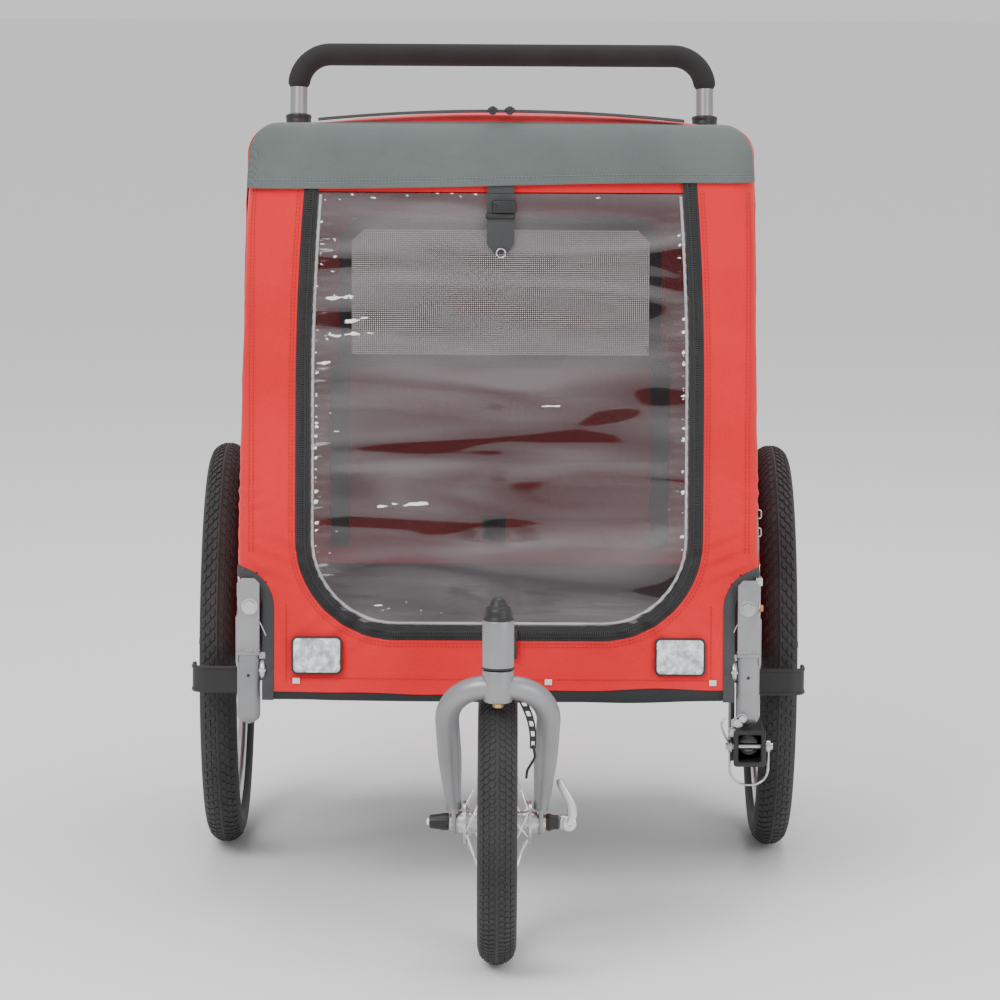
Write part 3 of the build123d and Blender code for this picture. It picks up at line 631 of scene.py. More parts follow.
def sweepPiece(name, path, outward, profile, closedPath=False):
    # a strip along a path: profile points are (across, out), out of the surface the path lies on
    count = len(path)
    points = [Vector(p) for p in path]
    frames = []
    for index in range(count):
        if closedPath:
            before, after = points[index - 1], points[(index + 1) % count]
        else:
            before, after = points[max(index - 1, 0)], points[min(index + 1, count - 1)]
        along = (after - before).normalized()
        out = outward(points[index]).normalized() if callable(outward) else Vector(outward).normalized()
        side = along.cross(out).normalized()
        frames.append((points[index], side, side.cross(along).normalized()))
    lengths = [0.0]
    for index in range(1, count):
        lengths.append(lengths[-1] + (points[index] - points[index - 1]).length)
    if closedPath:
        frames.append(frames[0])
        lengths.append(lengths[-1] + (points[0] - points[-1]).length)
    columns, rows = len(profile) - 1, len(frames) - 1

    def place(u, t):
        at, side, out = frames[round(t * rows)]
        across, rise = profile[round(u * columns)]
        return at + side * across + out * rise

    obj = gridPiece(name, columns, rows, place)
    layer = obj.data.uv_layers.active or obj.data.uv_layers.new(name="UVMap")
    layer.name = "UVMap"
    for loop in obj.data.loops:
        u, t = layer.data[loop.index].uv
        layer.data[loop.index].uv = (profile[round(u * columns)][0], lengths[round(t * rows)])
    return obj


def capEnds(obj):
    # fills the open ends and turns the faces outwards
    inEditMode(obj)
    bpy.ops.mesh.select_all(action="DESELECT")
    bpy.ops.mesh.select_non_manifold()
    bpy.ops.mesh.edge_face_add()
    bpy.ops.mesh.select_all(action="SELECT")
    bpy.ops.mesh.normals_make_consistent(inside=False)
    bpy.ops.object.mode_set(mode="OBJECT")


def ringProfile(radius, count=12, flat=1.0):
    return [
        (radius * math.cos(2 * math.pi * i / count), radius * flat * math.sin(2 * math.pi * i / count))
        for i in range(count + 1)
    ]


def tubePiece(name, path, radius, outward=(0, 0, 1), count=14, capped=True):
    obj = sweepPiece(name, path, outward, ringProfile(radius, count))
    cleanMesh(obj)
    if capped:
        capEnds(obj)
    return obj


def roundedPath(corners, radius, steps=8):
    # straight runs joined by arcs
    points = [Vector(c) for c in corners]
    radii = radius if isinstance(radius, (list, tuple)) else [radius] * (len(points) - 2)
    out = [points[0]]
    for index in range(1, len(points) - 1):
        corner = points[index]
        toLast = (points[index - 1] - corner).normalized()
        toNext = (points[index + 1] - corner).normalized()
        half = toLast.angle(toNext) / 2
        reach = radii[index - 1] / math.tan(half)
        middle = corner + (toLast + toNext).normalized() * (radii[index - 1] / math.sin(half))
        first, last = corner + toLast * reach, corner + toNext * reach
        a, b = first - middle, last - middle
        turn = a.angle(b)
        axis = a.cross(b).normalized()
        for step in range(steps + 1):
            out.append(middle + Matrix.Rotation(turn * step / steps, 3, axis) @ a)
    out.append(points[-1])
    return out


def evenPath(points, spacing):
    # the same line with evenly spaced points
    lengths = [0.0]
    for first, second in zip(points, points[1:]):
        lengths.append(lengths[-1] + (second - first).length)
    count = max(2, round(lengths[-1] / spacing))
    out, index = [], 0
    for step in range(count + 1):
        target = lengths[-1] * step / count
        while index < len(lengths) - 2 and lengths[index + 1] < target:
            index += 1
        span = lengths[index + 1] - lengths[index]
        share = (target - lengths[index]) / span if span > 1e-9 else 0.0
        out.append(points[index].lerp(points[index + 1], min(max(share, 0.0), 1.0)))
    return out


def blockPiece(name, low, high, bevel=0.001, segments=2):
    low, high = Vector(low), Vector(high)
    deselectAll()
    bpy.ops.mesh.primitive_cube_add(size=1, location=(low + high) / 2)
    obj = bpy.context.object
    obj.name = name
    obj.scale = high - low
    bpy.ops.object.transform_apply(location=True, rotation=True, scale=True)
    if bevel:
        roundOff(obj, bevel, segments)
    return obj


def turnedPiece(name, outline, origin, axis="X", count=48):
    # a turned shape: outline points are (along the axis, radius)
    spin = {"X": (1, 0, 0), "Y": (0, 1, 0), "Z": (0, 0, 1)}[axis]
    radial = {"X": (0, 0, 1), "Y": (0, 0, 1), "Z": (1, 0, 0)}[axis]
    origin, spin, radial = Vector(origin), Vector(spin), Vector(radial)
    rows = len(outline) - 1

    def place(u, t):
        along, radius = outline[round(t * rows)]
        return origin + spin * along + Matrix.Rotation(2 * math.pi * u, 3, spin) @ (radial * radius)

    obj = gridPiece(name, count, rows, place)
    cleanMesh(obj, 0.00001)
    return obj

# the cover's shape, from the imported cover
wallLow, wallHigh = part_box("cover_front")
rearLow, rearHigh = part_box("cover_rear")
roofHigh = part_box("cover_roof")[1]
cover = {
    "half": wallHigh.x,
    "footZ": wallLow.z,
    "topZ": wallHigh.z,
    "crownZ": roofHigh.z,
    "footY": wallLow.y,
    "lean": (wallHigh.y - 0.003 - wallLow.y) / (wallHigh.z - wallLow.z),
    "rearY": rearHigh.y,
    "shoulder": 0.034,
    "edge": 0.014,
    "cell": 0.0052,
    "cloth": 0.0011,
    "rearDrop": 0.038,
    "taper": 0.0075,
    "foldKeep": 0.3,
    "foldFloor": 0.29,
}
windowCut = {"half": 0.238, "low": 0.318, "corner": 0.118, "high": 0.862, "bow": 0.01, "bowFrom": 0.6}
notchCut = {"half": 0.264, "high": 0.402, "corner": 0.046}
netCut = {"half": 0.206, "low": 0.563, "high": 0.747, "chamfer": 0.022}


def frontY(z):
    return cover["footY"] + (z - cover["footZ"]) * cover["lean"]


def smoothStep(value, low, high):
    share = min(max((value - low) / (high - low), 0.0), 1.0)
    return share * share * (3 - 2 * share)


def hump(value, middle, spread):
    return math.exp(-(((value - middle) / spread) ** 2))


def crease(p):
    # slack of the cloth, outwards: broad billows, small ripples, folds where it is pulled
    amount = 0.003 * noise.noise(p * 5.0) + 0.0011 * noise.noise(p * 17.0)
    amount += 0.0006 * (1 - abs(noise.noise(Vector((p.x * 9, p.y * 9, p.z * 26))))) ** 4
    x, z = abs(p.x), p.z
    if p.y < cover["rearY"] - 0.3:
        pulled = hump(x, 0.262, 0.028) * hump(z, 0.415, 0.03)
        slope = (z - 0.415) - 0.42 * (x - 0.262)
        amount += 0.0032 * pulled * math.sin(slope * 2 * math.pi / 0.021)
        side = hump(x, 0.288, 0.018) * hump(z, 0.487, 0.026)
        amount += 0.0019 * side * math.sin((z + 0.25 * x) * 2 * math.pi / 0.017)
        below = hump(x, 0.17, 0.05) * hump(z, 0.335, 0.03)
        amount += 0.0022 * below * math.sin((z + 0.8 * x) * 2 * math.pi / 0.034)
    return amount


def halfWidth(z):
    return cover["half"] - cover["taper"] * smoothStep(z, 0.34, 1.05) * 1.25


def wallPoint(along, z, rise, sign=-1):
    # a point on the front (sign -1) or rear (sign 1) wall with its rounded sides;
    # rise is the way over the shoulder
    radius = cover["edge"] + (cover["shoulder"] - cover["edge"]) * smoothStep(
        z, 0.78, cover["topZ"] - cover["shoulder"],
    )
    half = halfWidth(z)
    if sign > 0:
        z -= cover["rearDrop"] * smoothStep(z, 0.7, cover["topZ"] - cover["shoulder"])
    foot = z
    flat = half - radius
    out = Vector((0, sign, 0))
    x, back = along, 0.0
    if abs(along) > flat:
        turn = min((abs(along) - flat) / radius, math.pi / 2)
        rest = max(abs(along) - flat - radius * math.pi / 2, 0.0)
        x = math.copysign(flat + radius * math.sin(turn), along)
        back = radius * (1 - math.cos(turn)) + rest
        out = Vector((math.copysign(math.sin(turn), along), sign * math.cos(turn), 0))
    base = frontY(z) if sign < 0 else cover["rearY"]
    at = Vector((x, base - sign * back, z))
    if rise > 0:
        inset = cover["shoulder"] * (1 - math.cos(rise))
        at -= out * inset
        at.z = foot + cover["shoulder"] * math.sin(rise)
        out = (out * math.cos(rise) + Vector((0, 0, math.sin(rise)))).normalized()
    return at, out


def wallHeights(low, cell):
    # heights of the rows up a wall, then over the shoulder
    top = cover["topZ"] - cover["shoulder"]
    count = round((top - low) / cell)
    rows = [(low + (top - low) * index / count, 0.0) for index in range(count + 1)]
    rows += [(top, math.pi / 2 * step / 8) for step in range(1, 9)]
    return rows


def windowGap(x, z, inset=0.0):
    # distance out of the window's edge: below zero inside it
    bow = windowCut["bow"] * max(z - windowCut["bowFrom"], 0.0) ** 2 / 0.0625
    corner = windowCut["corner"] - inset
    reachX = abs(x) - (windowCut["half"] - inset - bow - corner)
    reachZ = (windowCut["low"] + inset + corner) - z
    if reachX > 0 and reachZ > 0:
        gap = math.hypot(reachX, reachZ) - corner
    else:
        gap = max(reachX, reachZ) - corner
    return max(gap, z - windowCut["high"])


def notchGap(x, z):
    corner = notchCut["corner"]
    inX = corner - (abs(x) - notchCut["half"])
    inZ = corner - (notchCut["high"] - z)
    if inX > 0 and inZ > 0:
        return math.hypot(inX, inZ) - corner
    return max(inX, inZ) - corner


def netGap(x, z):
    gap = max(abs(x) - netCut["half"], netCut["low"] - z, z - netCut["high"])
    cornerLine = (abs(x) - netCut["half"] + z - netCut["high"] + netCut["chamfer"]) / math.sqrt(2)
    return max(gap, cornerLine)


def cutAway(obj, test):
    # removes the corners of the mesh that pass the test
    pick(obj)
    for vertex in obj.data.vertices:
        vertex.select = test(vertex.co)
    for part in (obj.data.edges, obj.data.polygons):
        for item in part:
            item.select = False
    bpy.ops.object.mode_set(mode="EDIT")
    bpy.ops.mesh.select_mode(type="VERT")
    bpy.ops.mesh.delete(type="VERT")
    bpy.ops.object.mode_set(mode="OBJECT")


def trimSheet(obj, gap, cell, lean=0.0):
    # cuts away what lies inside a gap, with the edge moved onto the outline
    step = 0.0002
    for vertex in obj.data.vertices:
        x, z = vertex.co.x, vertex.co.z
        near = gap(x, z)
        if abs(near) < 0.6 * cell:
            slopeX = (gap(x + step, z) - gap(x - step, z)) / (2 * step)
            slopeZ = (gap(x, z + step) - gap(x, z - step)) / (2 * step)
            size = max(math.hypot(slopeX, slopeZ), 0.2)
            vertex.co.x -= near * slopeX / size
            vertex.co.z -= near * slopeZ / size
            vertex.co.y -= near * slopeZ / size * lean
    cutAway(obj, lambda co: gap(co.x, co.z) < -0.0004)


def foldsAway(obj):
    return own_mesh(obj)


def coverPiece(obj, name, material, replaced=(), body="root", angle=60):
    finishPiece(obj, name, body, material, replaced, angle)
    return foldsAway(obj)


def frontSkin(along, z, lift=0.0):
    # a point on the sewn front, with its outward direction
    at, out = wallPoint(along, z, 0.0, -1)
    edge = 1 - hump(at.z, cover["footZ"], 0.012)
    return at + out * (crease(at) * edge + lift), out


def makeFrontWall():
    tail = 0.022
    reach = cover["half"] - cover["edge"] + cover["edge"] * math.pi / 2 + tail
    rows = wallHeights(cover["footZ"], cover["cell"])
    columns = round(2 * reach / cover["cell"])

    def place(u, t):
        z, rise = rows[round(t * (len(rows) - 1))]
        at, out = wallPoint((u - 0.5) * 2 * reach, z, rise, -1)
        edge = 1 - hump(at.z, cover["footZ"], 0.012)
        wave = (
            0.0035 * noise.noise(Vector((at.x * 11, 0.3, 0.7))) - 0.0065 * (
                1 - smoothStep(at.x, -0.05, 0.05)
            )
        ) * (1 - edge)
        return at + out * crease(at) * edge + Vector((0, 0, wave))

    wall = gridPiece("frontWall", columns, len(rows) - 1, place)
    trimSheet(wall, lambda x, z: windowGap(x, z, 0.005), cover["cell"], cover["lean"])
    trimSheet(wall, lambda x, z: notchGap(x, z), cover["cell"], cover["lean"])
    cleanMesh(wall)
    turnOutwards(wall, Vector((0, 0.15, 0.6)))
    thicken(wall, cover["cloth"])
    return wall


def turnOutwards(obj, middle):
    # one face decides which way the open sheet looks
    face = obj.data.polygons[0]
    if face.normal.dot(face.center - middle) < 0:
        inEditMode(obj)
        bpy.ops.mesh.flip_normals()
        bpy.ops.object.mode_set(mode="OBJECT")


def makeRearWall():
    tail = 0.022
    reach = cover["half"] - cover["edge"] + cover["edge"] * math.pi / 2 + tail
    rows = wallHeights(rearLow.z - 0.006, 0.0068)
    columns = round(2 * reach / 0.0068)

    def place(u, t):
        z, rise = rows[round(t * (len(rows) - 1))]
        at, out = wallPoint((u - 0.5) * 2 * reach, z, rise, 1)
        return at + out * crease(at + Vector((3, 0, 0)))

    wall = gridPiece("rearWall", columns, len(rows) - 1, place)
    trimSheet(wall, netGap, 0.0068)
    trimSheet(wall, notchGap, 0.0068)
    cleanMesh(wall)
    turnOutwards(wall, Vector((0, 0.15, 0.6)))
    thicken(wall, cover["cloth"])
    return wall


def makeSideWall():
    tail = 0.02
    rows = wallHeights(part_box("cover_left")[0].z, 0.008)
    columns = 92
    reach = cover["half"] - cover["edge"] + cover["edge"] * math.pi / 2 + tail

    def place(u, t):
        z, rise = rows[round(t * (len(rows) - 1))]
        first, out = wallPoint(reach, z, rise, -1)
        last = wallPoint(reach, z, rise, 1)[0]
        at = first.lerp(last, u)
        billow = 0.0035 * math.sin(math.pi * u) * smoothStep(z, 0.28, 0.42) * (
            1 - smoothStep(z, 0.78, 0.88)
        )
        ripple = 0.0016 * hump(z, 0.33, 0.05) * math.sin(
            at.y * 2 * math.pi / 0.13 + 2.4 * noise.noise(at * 6)
        )
        return at + out * (crease(at + Vector((0, 0, 5))) + billow + ripple)

    wall = gridPiece("sideWall", columns, len(rows) - 1, place)

    cutAway(wall, lambda co: co.y - frontY(co.z) < 0.04 and co.z < notchCut["high"] - 0.002)
    cleanMesh(wall)
    turnOutwards(wall, Vector((0, 0.15, 0.6)))
    thicken(wall, cover["cloth"])
    return wall


def roofHeight(x, y):
    # falls towards the rear, arched across
    a = halfWidth(cover["topZ"] - cover["shoulder"]) - cover["shoulder"]
    front = frontY(cover["topZ"] - cover["shoulder"]) + cover["shoulder"]
    rear = cover["rearY"] - cover["shoulder"]
    ends = smoothStep(y, front - 0.002, front + 0.024) * (1 - smoothStep(y, rear - 0.09, rear + 0.002))
    rise = (cover["crownZ"] - cover["topZ"]) * max(1 - (x / a) ** 2, 0.0) * ends
    fall = cover["rearDrop"] * (y - front) / (rear - front)
    return cover["topZ"] - fall + rise


def makeRoof():
    a = halfWidth(cover["topZ"] - cover["shoulder"]) - cover["shoulder"] + 0.001
    front = frontY(cover["topZ"] - cover["shoulder"]) + cover["shoulder"] - 0.001
    rear = cover["rearY"] - cover["shoulder"] + 0.001

    def place(u, t):
        x, y = (u - 0.5) * 2 * a, front + (rear - front) * t
        inside = min(a - abs(x), y - front, rear - y)
        slack = smoothStep(inside, 0.0, 0.05)
        at = Vector((x, y, roofHeight(x, y)))
        sag = -0.0028 * slack * math.sin((y - front) * 2 * math.pi / 0.35) * hump(x, 0.05, 0.2)
        return at + Vector((0, 0, slack * (1.3 * crease(at)) + sag))

    roof = gridPiece("roof", 76, 100, place)
    cleanMesh(roof)
    turnOutwards(roof, Vector((0, 0.15, 0.6)))
    thicken(roof, cover["cloth"])
    return roof


def flapProfile(x):
    # from the lower hem up the front, over the edge and back along the roof:
    # points with their outward direction
    out = []
    low = 0.8462 + 0.0012 * math.sin(x * 11) + 0.0044 * x / 0.27
    top = cover["topZ"] - cover["shoulder"]
    for step in range(9):
        z = low + (top - low) * step / 8
        out.append(wallPoint(x, z, 0.0, -1))
    for step in range(1, 11):
        out.append(wallPoint(x, top, math.pi / 2 * step / 10, -1))
    last = out[-1][0]
    back = -0.1725 - last.y
    for step in range(1, 9):
        y = last.y + back * step / 8
        out.append((Vector((last.x, y, max(roofHeight(last.x, y), last.z))), Vector((0, 0, 1))))
    return out


def makeFlap():
    reach = 0.296
    columns = 130
    profiles = {}

    def place(u, t):
        column = round(u * columns)
        if column not in profiles:
            profiles[column] = flapProfile((u - 0.5) * 2 * reach)
        line = profiles[column]
        at, out = line[round(t * (len(line) - 1))]
        hem = 1 - smoothStep(t, 0.0, 0.3)
        fold = 0.0018 * math.sin((at.z * 1.0 + at.x * 0.22) * 2 * math.pi / 0.034 + 3 * noise.noise(at * 4))
        fold *= hump(t, 0.24, 0.16) * (0.5 + 0.5 * noise.noise(Vector((at.x * 4, 2.0, at.z * 9))))
        lift = 0.003 + 0.0018 * hem + 0.001 * noise.noise(at * 12) + abs(fold)
        return at + out * lift

    flap = gridPiece("frontFlap", columns, 26, place)
    cleanMesh(flap)
    turnOutwards(flap, Vector((0, 0.15, 0.6)))
    thicken(flap, 0.0013, offset=1.0)
    applyModifier(flap, "SUBSURF", levels=1, render_levels=1)
    return flap


def makeBaseTrim():
    # dark cloth under the red front, wavy, turned in under the floor
    def place(u, t):
        x = (u - 0.5) * 2 * 0.266
        wave = 0.0028 * noise.noise(Vector((x * 9, 4.1, 0))) - 0.004 * math.cos(x * math.pi / 0.53) * 0.6
        path = [
            (0.0007, 0.268), (-0.0004, 0.262), (0.0, 0.252), (0.003, 0.2475), (0.012, 0.2455),
            (0.045, 0.247),
        ]
        back, z = path[round(t * 5)]
        return Vector((x, frontY(0.262) + back + 0.0012, z + wave * min(1.0, (0.268 - z) / 0.014)))

    trim = gridPiece("baseTrim", 90, 5, place)
    cleanMesh(trim)
    turnOutwards(trim, Vector((0, 0.15, 0.6)))
    thicken(trim, 0.0016)
    applyModifier(trim, "SUBSURF", levels=1, render_levels=1)
    return trim


def stitchRow(name, path, outward, pitch=0.0044, length=0.003, width=0.0007, lift=0.0002):
    # one thread of stitches along a line
    points = evenPath([Vector(p) for p in path], pitch)
    pieces = []
    deselectAll()
    bpy.ops.mesh.primitive_cube_add(size=1)
    model = bpy.context.object
    model.scale = (length, width, width * 0.7)
    bpy.ops.object.transform_apply(location=True, rotation=True, scale=True)
    applyModifier(model, "BEVEL", width=width * 0.3, segments=1)
    for first, second in zip(points, points[1:]):
        along = (second - first).normalized()
        out = outward(first).normalized() if callable(outward) else Vector(outward).normalized()
        side = out.cross(along).normalized()
        turn = Matrix((along, side, along.cross(side))).transposed().to_4x4()
        pieces.append(Matrix.Translation((first + second) / 2 + out * lift) @ turn)
    mesh = bpy.data.meshes.new(name)
    corners, faces = [], []
    for place in pieces:
        base = len(corners)
        corners += [place @ v.co for v in model.data.vertices]
        faces += [[base + i for i in face.vertices] for face in model.data.polygons]
    mesh.from_pydata([tuple(c) for c in corners], [], faces)
    obj = bpy.data.objects.new(name, mesh)
    bpy.context.scene.collection.objects.link(obj)
    bpy.data.objects.remove(model)
    return obj


coverPiece(makeFrontWall(), "frontWall", finish["red"], ["cover_front"])
coverPiece(makeRearWall(), "rearWall", finish["red"], ["cover_rear"])
sideWall = makeSideWall()
sideTwin = mirrorCopy(sideWall, "rightWall")
coverPiece(sideWall, "leftWall", finish["red"], ["cover_left"])
coverPiece(sideTwin, "rightWall", finish["red"], ["cover_right"])
coverPiece(makeRoof(), "roof", finish["roofRed"], ["cover_roof"])
coverPiece(makeFlap(), "frontFlap", finish["twill"], ["front_flap"])
coverPiece(makeBaseTrim(), "baseTrim", finish["trim"])
print("cover sewn")

# the front's trimmings: strips that follow the sewn wall, given as (along, height) lines
def offsetLine(line):
    # each point with its unit normal in the wall
    out = []
    for index, (a, z) in enumerate(line):
        before, after = line[max(index - 1, 0)], line[min(index + 1, len(line) - 1)]
        da, dz = after[0] - before[0], after[1] - before[1]
        size = math.hypot(da, dz) or 1.0
        out.append((a, z, dz / size, -da / size))
    return out


def wallStrip(name, line, profile, skin=frontSkin):
    # profile points are (across the line, out of the wall)
    frames = offsetLine(line)
    lengths = [0.0]
    for first, second in zip(line, line[1:]):
        lengths.append(lengths[-1] + math.hypot(second[0] - first[0], second[1] - first[1]))
    columns, rows = len(profile) - 1, len(line) - 1

    def place(u, t):
        a, z, na, nz = frames[round(t * rows)]
        across, lift = profile[round(u * columns)]
        return skin(a + na * across, z + nz * across, lift)[0]

    strip = gridPiece(name, columns, rows, place)
    layer = strip.data.uv_layers.active or strip.data.uv_layers.new(name="UVMap")
    layer.name = "UVMap"
    for loop in strip.data.loops:
        u, t = layer.data[loop.index].uv
        layer.data[loop.index].uv = (profile[round(u * columns)][0], lengths[round(t * rows)])
    turnOutwards(strip, Vector((0, 0.15, 0.6)))
    return strip


def flatLine(corners, radius, spacing):
    points = roundedPath([(a, 0, z) for a, z in corners], radius, 14)
    return [(p.x, p.z) for p in evenPath(points, spacing)]


def windowLine(inset, top, spacing=0.004):
    # the window's edge as a line, inset from its outside, from the top left down and round to the top right
    half, low = windowCut["half"] - inset, windowCut["low"] + inset
    corner = windowCut["corner"] - inset
    line = flatLine([(-half, top), (-half, low), (half, low), (half, top)], corner, spacing)
    out = []
    for a, z in line:
        bow = windowCut["bow"] * max(z - windowCut["bowFrom"], 0.0) ** 2 / 0.0625
        out.append((math.copysign(abs(a) - bow, a), z))
    return out


tapeHalf = 0.0085
zipperShape = [
    (-tapeHalf, 0.0004), (-0.0046, 0.0012), (-0.0036, 0.0024), (-0.0022, 0.0028), (-0.0008, 0.0016),
    (0.0, 0.001), (0.0008, 0.0016), (0.0022, 0.0028), (0.0036, 0.0024), (0.0046, 0.0012),
    (tapeHalf, 0.0004),
]
windowZip = wallStrip("windowZipper", windowLine(tapeHalf, 0.862), zipperShape)
thicken(windowZip, 0.0007)
coverPiece(windowZip, "windowZipper", finish["zipper"], ["window_zipper"])

# teeth of the coil, a small bar for each turn
def coilPiece(name, line, pitch, across):
    points = evenPath([Vector((a, 0, z)) for a, z in line], pitch)
    frames = offsetLine([(p.x, p.z) for p in points])
    corners, faces = [], []
    for a, z, na, nz in frames:
        base = len(corners)
        for reach, lift in (
            (-across, 0.0022), (-across * 0.4, 0.0033), (across * 0.4, 0.0033), (across, 0.0022),
        ):
            for shift in (-pitch * 0.3, pitch * 0.3):
                corners.append(frontSkin(a + na * reach - nz * shift, z + nz * reach + na * shift, lift)[0])
                corners.append(
                    frontSkin(a + na * reach - nz * shift, z + nz * reach + na * shift, 0.0006)[0]
                )
        for step in (0, 4, 8):
            i = base + step
            faces += [(i, i + 4, i + 6, i + 2), (i, i + 1, i + 5, i + 4), (i + 2, i + 6, i + 7, i + 3)]
        faces += [(base, base + 2, base + 3, base + 1), (base + 12, base + 13, base + 15, base + 14)]
    mesh = bpy.data.meshes.new(name)
    mesh.from_pydata([tuple(c) for c in corners], [], faces)
    obj = bpy.data.objects.new(name, mesh)
    bpy.context.scene.collection.objects.link(obj)
    inEditMode(obj)
    bpy.ops.mesh.normals_make_consistent(inside=False)
    bpy.ops.object.mode_set(mode="OBJECT")
    return obj


coil = coilPiece("zipperCoil", windowLine(tapeHalf, 0.845), 0.0026, 0.003)
coverPiece(coil, "zipperCoil", finish["plastic"])

# the clear panel, sewn inside the zipper, slack along its sides
panelTop = 0.8372
vinyl = {"inset": 0.0135, "cell": 0.0052, "piping": 0.0185}


def vinylSlack(x, z):
    # how far the panel bulges, puckered beside the zipper and sagging in long level folds
    inside = -windowGap(x, z, vinyl["inset"])
    free = smoothStep(inside, 0.0, 0.05) * smoothStep(panelTop - z, 0.0, 0.04)
    tilt = z + 0.05 * x + 0.012 * noise.noise(Vector((x * 5, z * 5, 1.0)))
    fold = 0.0042 * math.sin(tilt * 2 * math.pi / 0.074) * (
        0.6 + 0.4 * noise.noise(Vector((x * 6, z * 9, 3.0)))
    )
    broad = 0.006 * noise.noise(Vector((x * 3.5, 7.0, z * 9)))
    side = hump(inside, 0.01, 0.012) * (1 if abs(x) > 0.1 else 0.4)
    pucker = 0.0017 * side * math.sin(
        z * 2 * math.pi / 0.0125 + 2.0 * noise.noise(Vector((x * 7, z * 30, 5.0)))
    )
    return free * (fold + broad) + pucker * smoothStep(panelTop - z, 0.0, 0.03)


# painted highlights on the panel, long bright streaks: x, z, half length, half height, tilt
paintedStreaks = [
    (-0.112, 0.476, 0.037, 0.0032, 0.06), (-0.182, 0.672, 0.034, 0.0036, 0.1),
    (-0.188, 0.716, 0.024, 0.004, 0.16),
    (-0.17, 0.69, 0.02, 0.003, 0.2), (-0.205, 0.64, 0.014, 0.003, 0.0), (0.055, 0.59, 0.022, 0.0022, 0.05),
]


def paintedGlintAt(x, z):
    # painted highlight mask: 0 where dull, 1 where it catches the light
    inside = -windowGap(x, z, vinyl["inset"])
    edge = hump(inside, 0.0105, 0.0042) * smoothStep(z, 0.36, 0.44)
    near = 0.55 * hump(inside, 0.026, 0.016) * (1.0 if x < 0 else 0.75)
    total = max(edge * (0.62 + 0.5 * max(math.sin(z * 2 * math.pi / 0.0125), 0.0)), near)
    for sx, sz, long, high, tilt in paintedStreaks:
        a, b = x - sx, z - sz - tilt * (x - sx)
        total = max(total, 1.35 * math.exp(-((a / long) ** 4) - (b / high) ** 2))
    return total


def makeVinyl():
    half = windowCut["half"] - vinyl["inset"]
    low = windowCut["low"] + vinyl["inset"]
    columns, rows = round(2 * half / vinyl["cell"]), round((panelTop - low) / (vinyl["cell"] * 0.5))

    def place(u, t):
        x, z = (u - 0.5) * 2 * half, low + (panelTop - low) * t
        return Vector((x, frontY(z) + 0.0016 - vinylSlack(x, z), z))

    panel = gridPiece("windowPanel", columns, rows, place)
    trimSheet(panel, lambda x, z: -windowGap(x, z, vinyl["inset"]), 0.004, cover["lean"])
    cleanMesh(panel)
    turnOutwards(panel, Vector((0, 0.15, 0.6)))
    thicken(panel, 0.0006)
    # painted highlights, stored on the panel for its material
    paintedShine = panel.data.attributes.new("glint", "FLOAT", "POINT")
    for index, vertex in enumerate(panel.data.vertices):
        paintedShine.data[index].value = paintedGlintAt(vertex.co.x, vertex.co.z)
    return panel


panel = makeVinyl()
finishPiece(panel, "windowPanel", "window", finish["vinyl"], ["window_panel"], 60)
foldsAway(panel)


def vinylSkin(a, z, lift=0.0):
    return Vector((a, frontY(z) + 0.0016 - vinylSlack(a, z) - lift, z)), Vector((0, -1, 0))


piping = wallStrip(
    "windowPiping", windowLine(vinyl["piping"] + 0.0012, panelTop - 0.002),
    [(-0.002, 0.0), (-0.0012, 0.0012), (0.0, 0.0017), (0.0012, 0.0012), (0.002, 0.0)], vinylSkin,
)
thicken(piping, 0.0006)
finishPiece(piping, "windowPiping", "window", finish["piping"], angle=60)
foldsAway(piping)

# a fixed strip that the panel hangs from, under the flap
headerCut = {"wide": 0.436, "low": 0.8385, "rise": 0.026, "behind": 0.0022}


def headerPlace(u, t):
    z = headerCut["low"] + headerCut["rise"] * t
    return Vector(((u - 0.5) * headerCut["wide"], frontY(z) + headerCut["behind"], z))


header = gridPiece("windowHeader", 60, 6, headerPlace)
turnOutwards(header, Vector((0, 0.15, 0.6)))
thicken(header, 0.001)
coverPiece(header, "windowHeader", finish["red"])

# slider and its pull, hanging from the bottom of the zipper
pullLow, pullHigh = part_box("window_pull")
pullX = (pullLow.x + pullHigh.x) / 2
sliderZ = windowCut["low"] + tapeHalf
sliderY = frontY(sliderZ)
body = blockPiece(
    "sliderBody", (pullX - 0.0055, sliderY - 0.0078, sliderZ - 0.006),
    (pullX + 0.0055, sliderY - 0.003, sliderZ + 0.006), 0.0016, 3,
)
bridge = tubePiece(
    "sliderBridge",
    roundedPath(
        [
            (pullX, sliderY - 0.007, sliderZ + 0.004), (pullX, sliderY - 0.0105, sliderZ + 0.003),
            (pullX, sliderY - 0.0105, sliderZ - 0.004), (pullX, sliderY - 0.007, sliderZ - 0.0045),
        ],
        0.0012, 4,
    ),
    0.0009, (1, 0, 0), 8,
)
tag = blockPiece(
    "sliderTag", (pullX - 0.0034, sliderY - 0.0106, pullLow.z),
    (pullX + 0.0034, sliderY - 0.0084, sliderZ - 0.002), 0.001, 3,
)
grip = blockPiece(
    "sliderGrip", (pullX - 0.0045, sliderY - 0.0114, pullLow.z - 0.001),
    (pullX + 0.0045, sliderY - 0.0078, pullLow.z + 0.015), 0.0015, 3,
)
slider = joined("windowSlider", [body, bridge, tag, grip])
finishPiece(slider, "windowSlider", "window_slider", finish["rubber"], ["window_pull"])
foldsAway(slider)

# strap, toggle and ring at the top of the panel
strapLow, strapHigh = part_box("front_strap")


def strapPoint(x, z, lift):
    return Vector((x, frontY(z) - 0.004 - lift - 0.0012 * math.sin((z - strapLow.z) * 60), z))


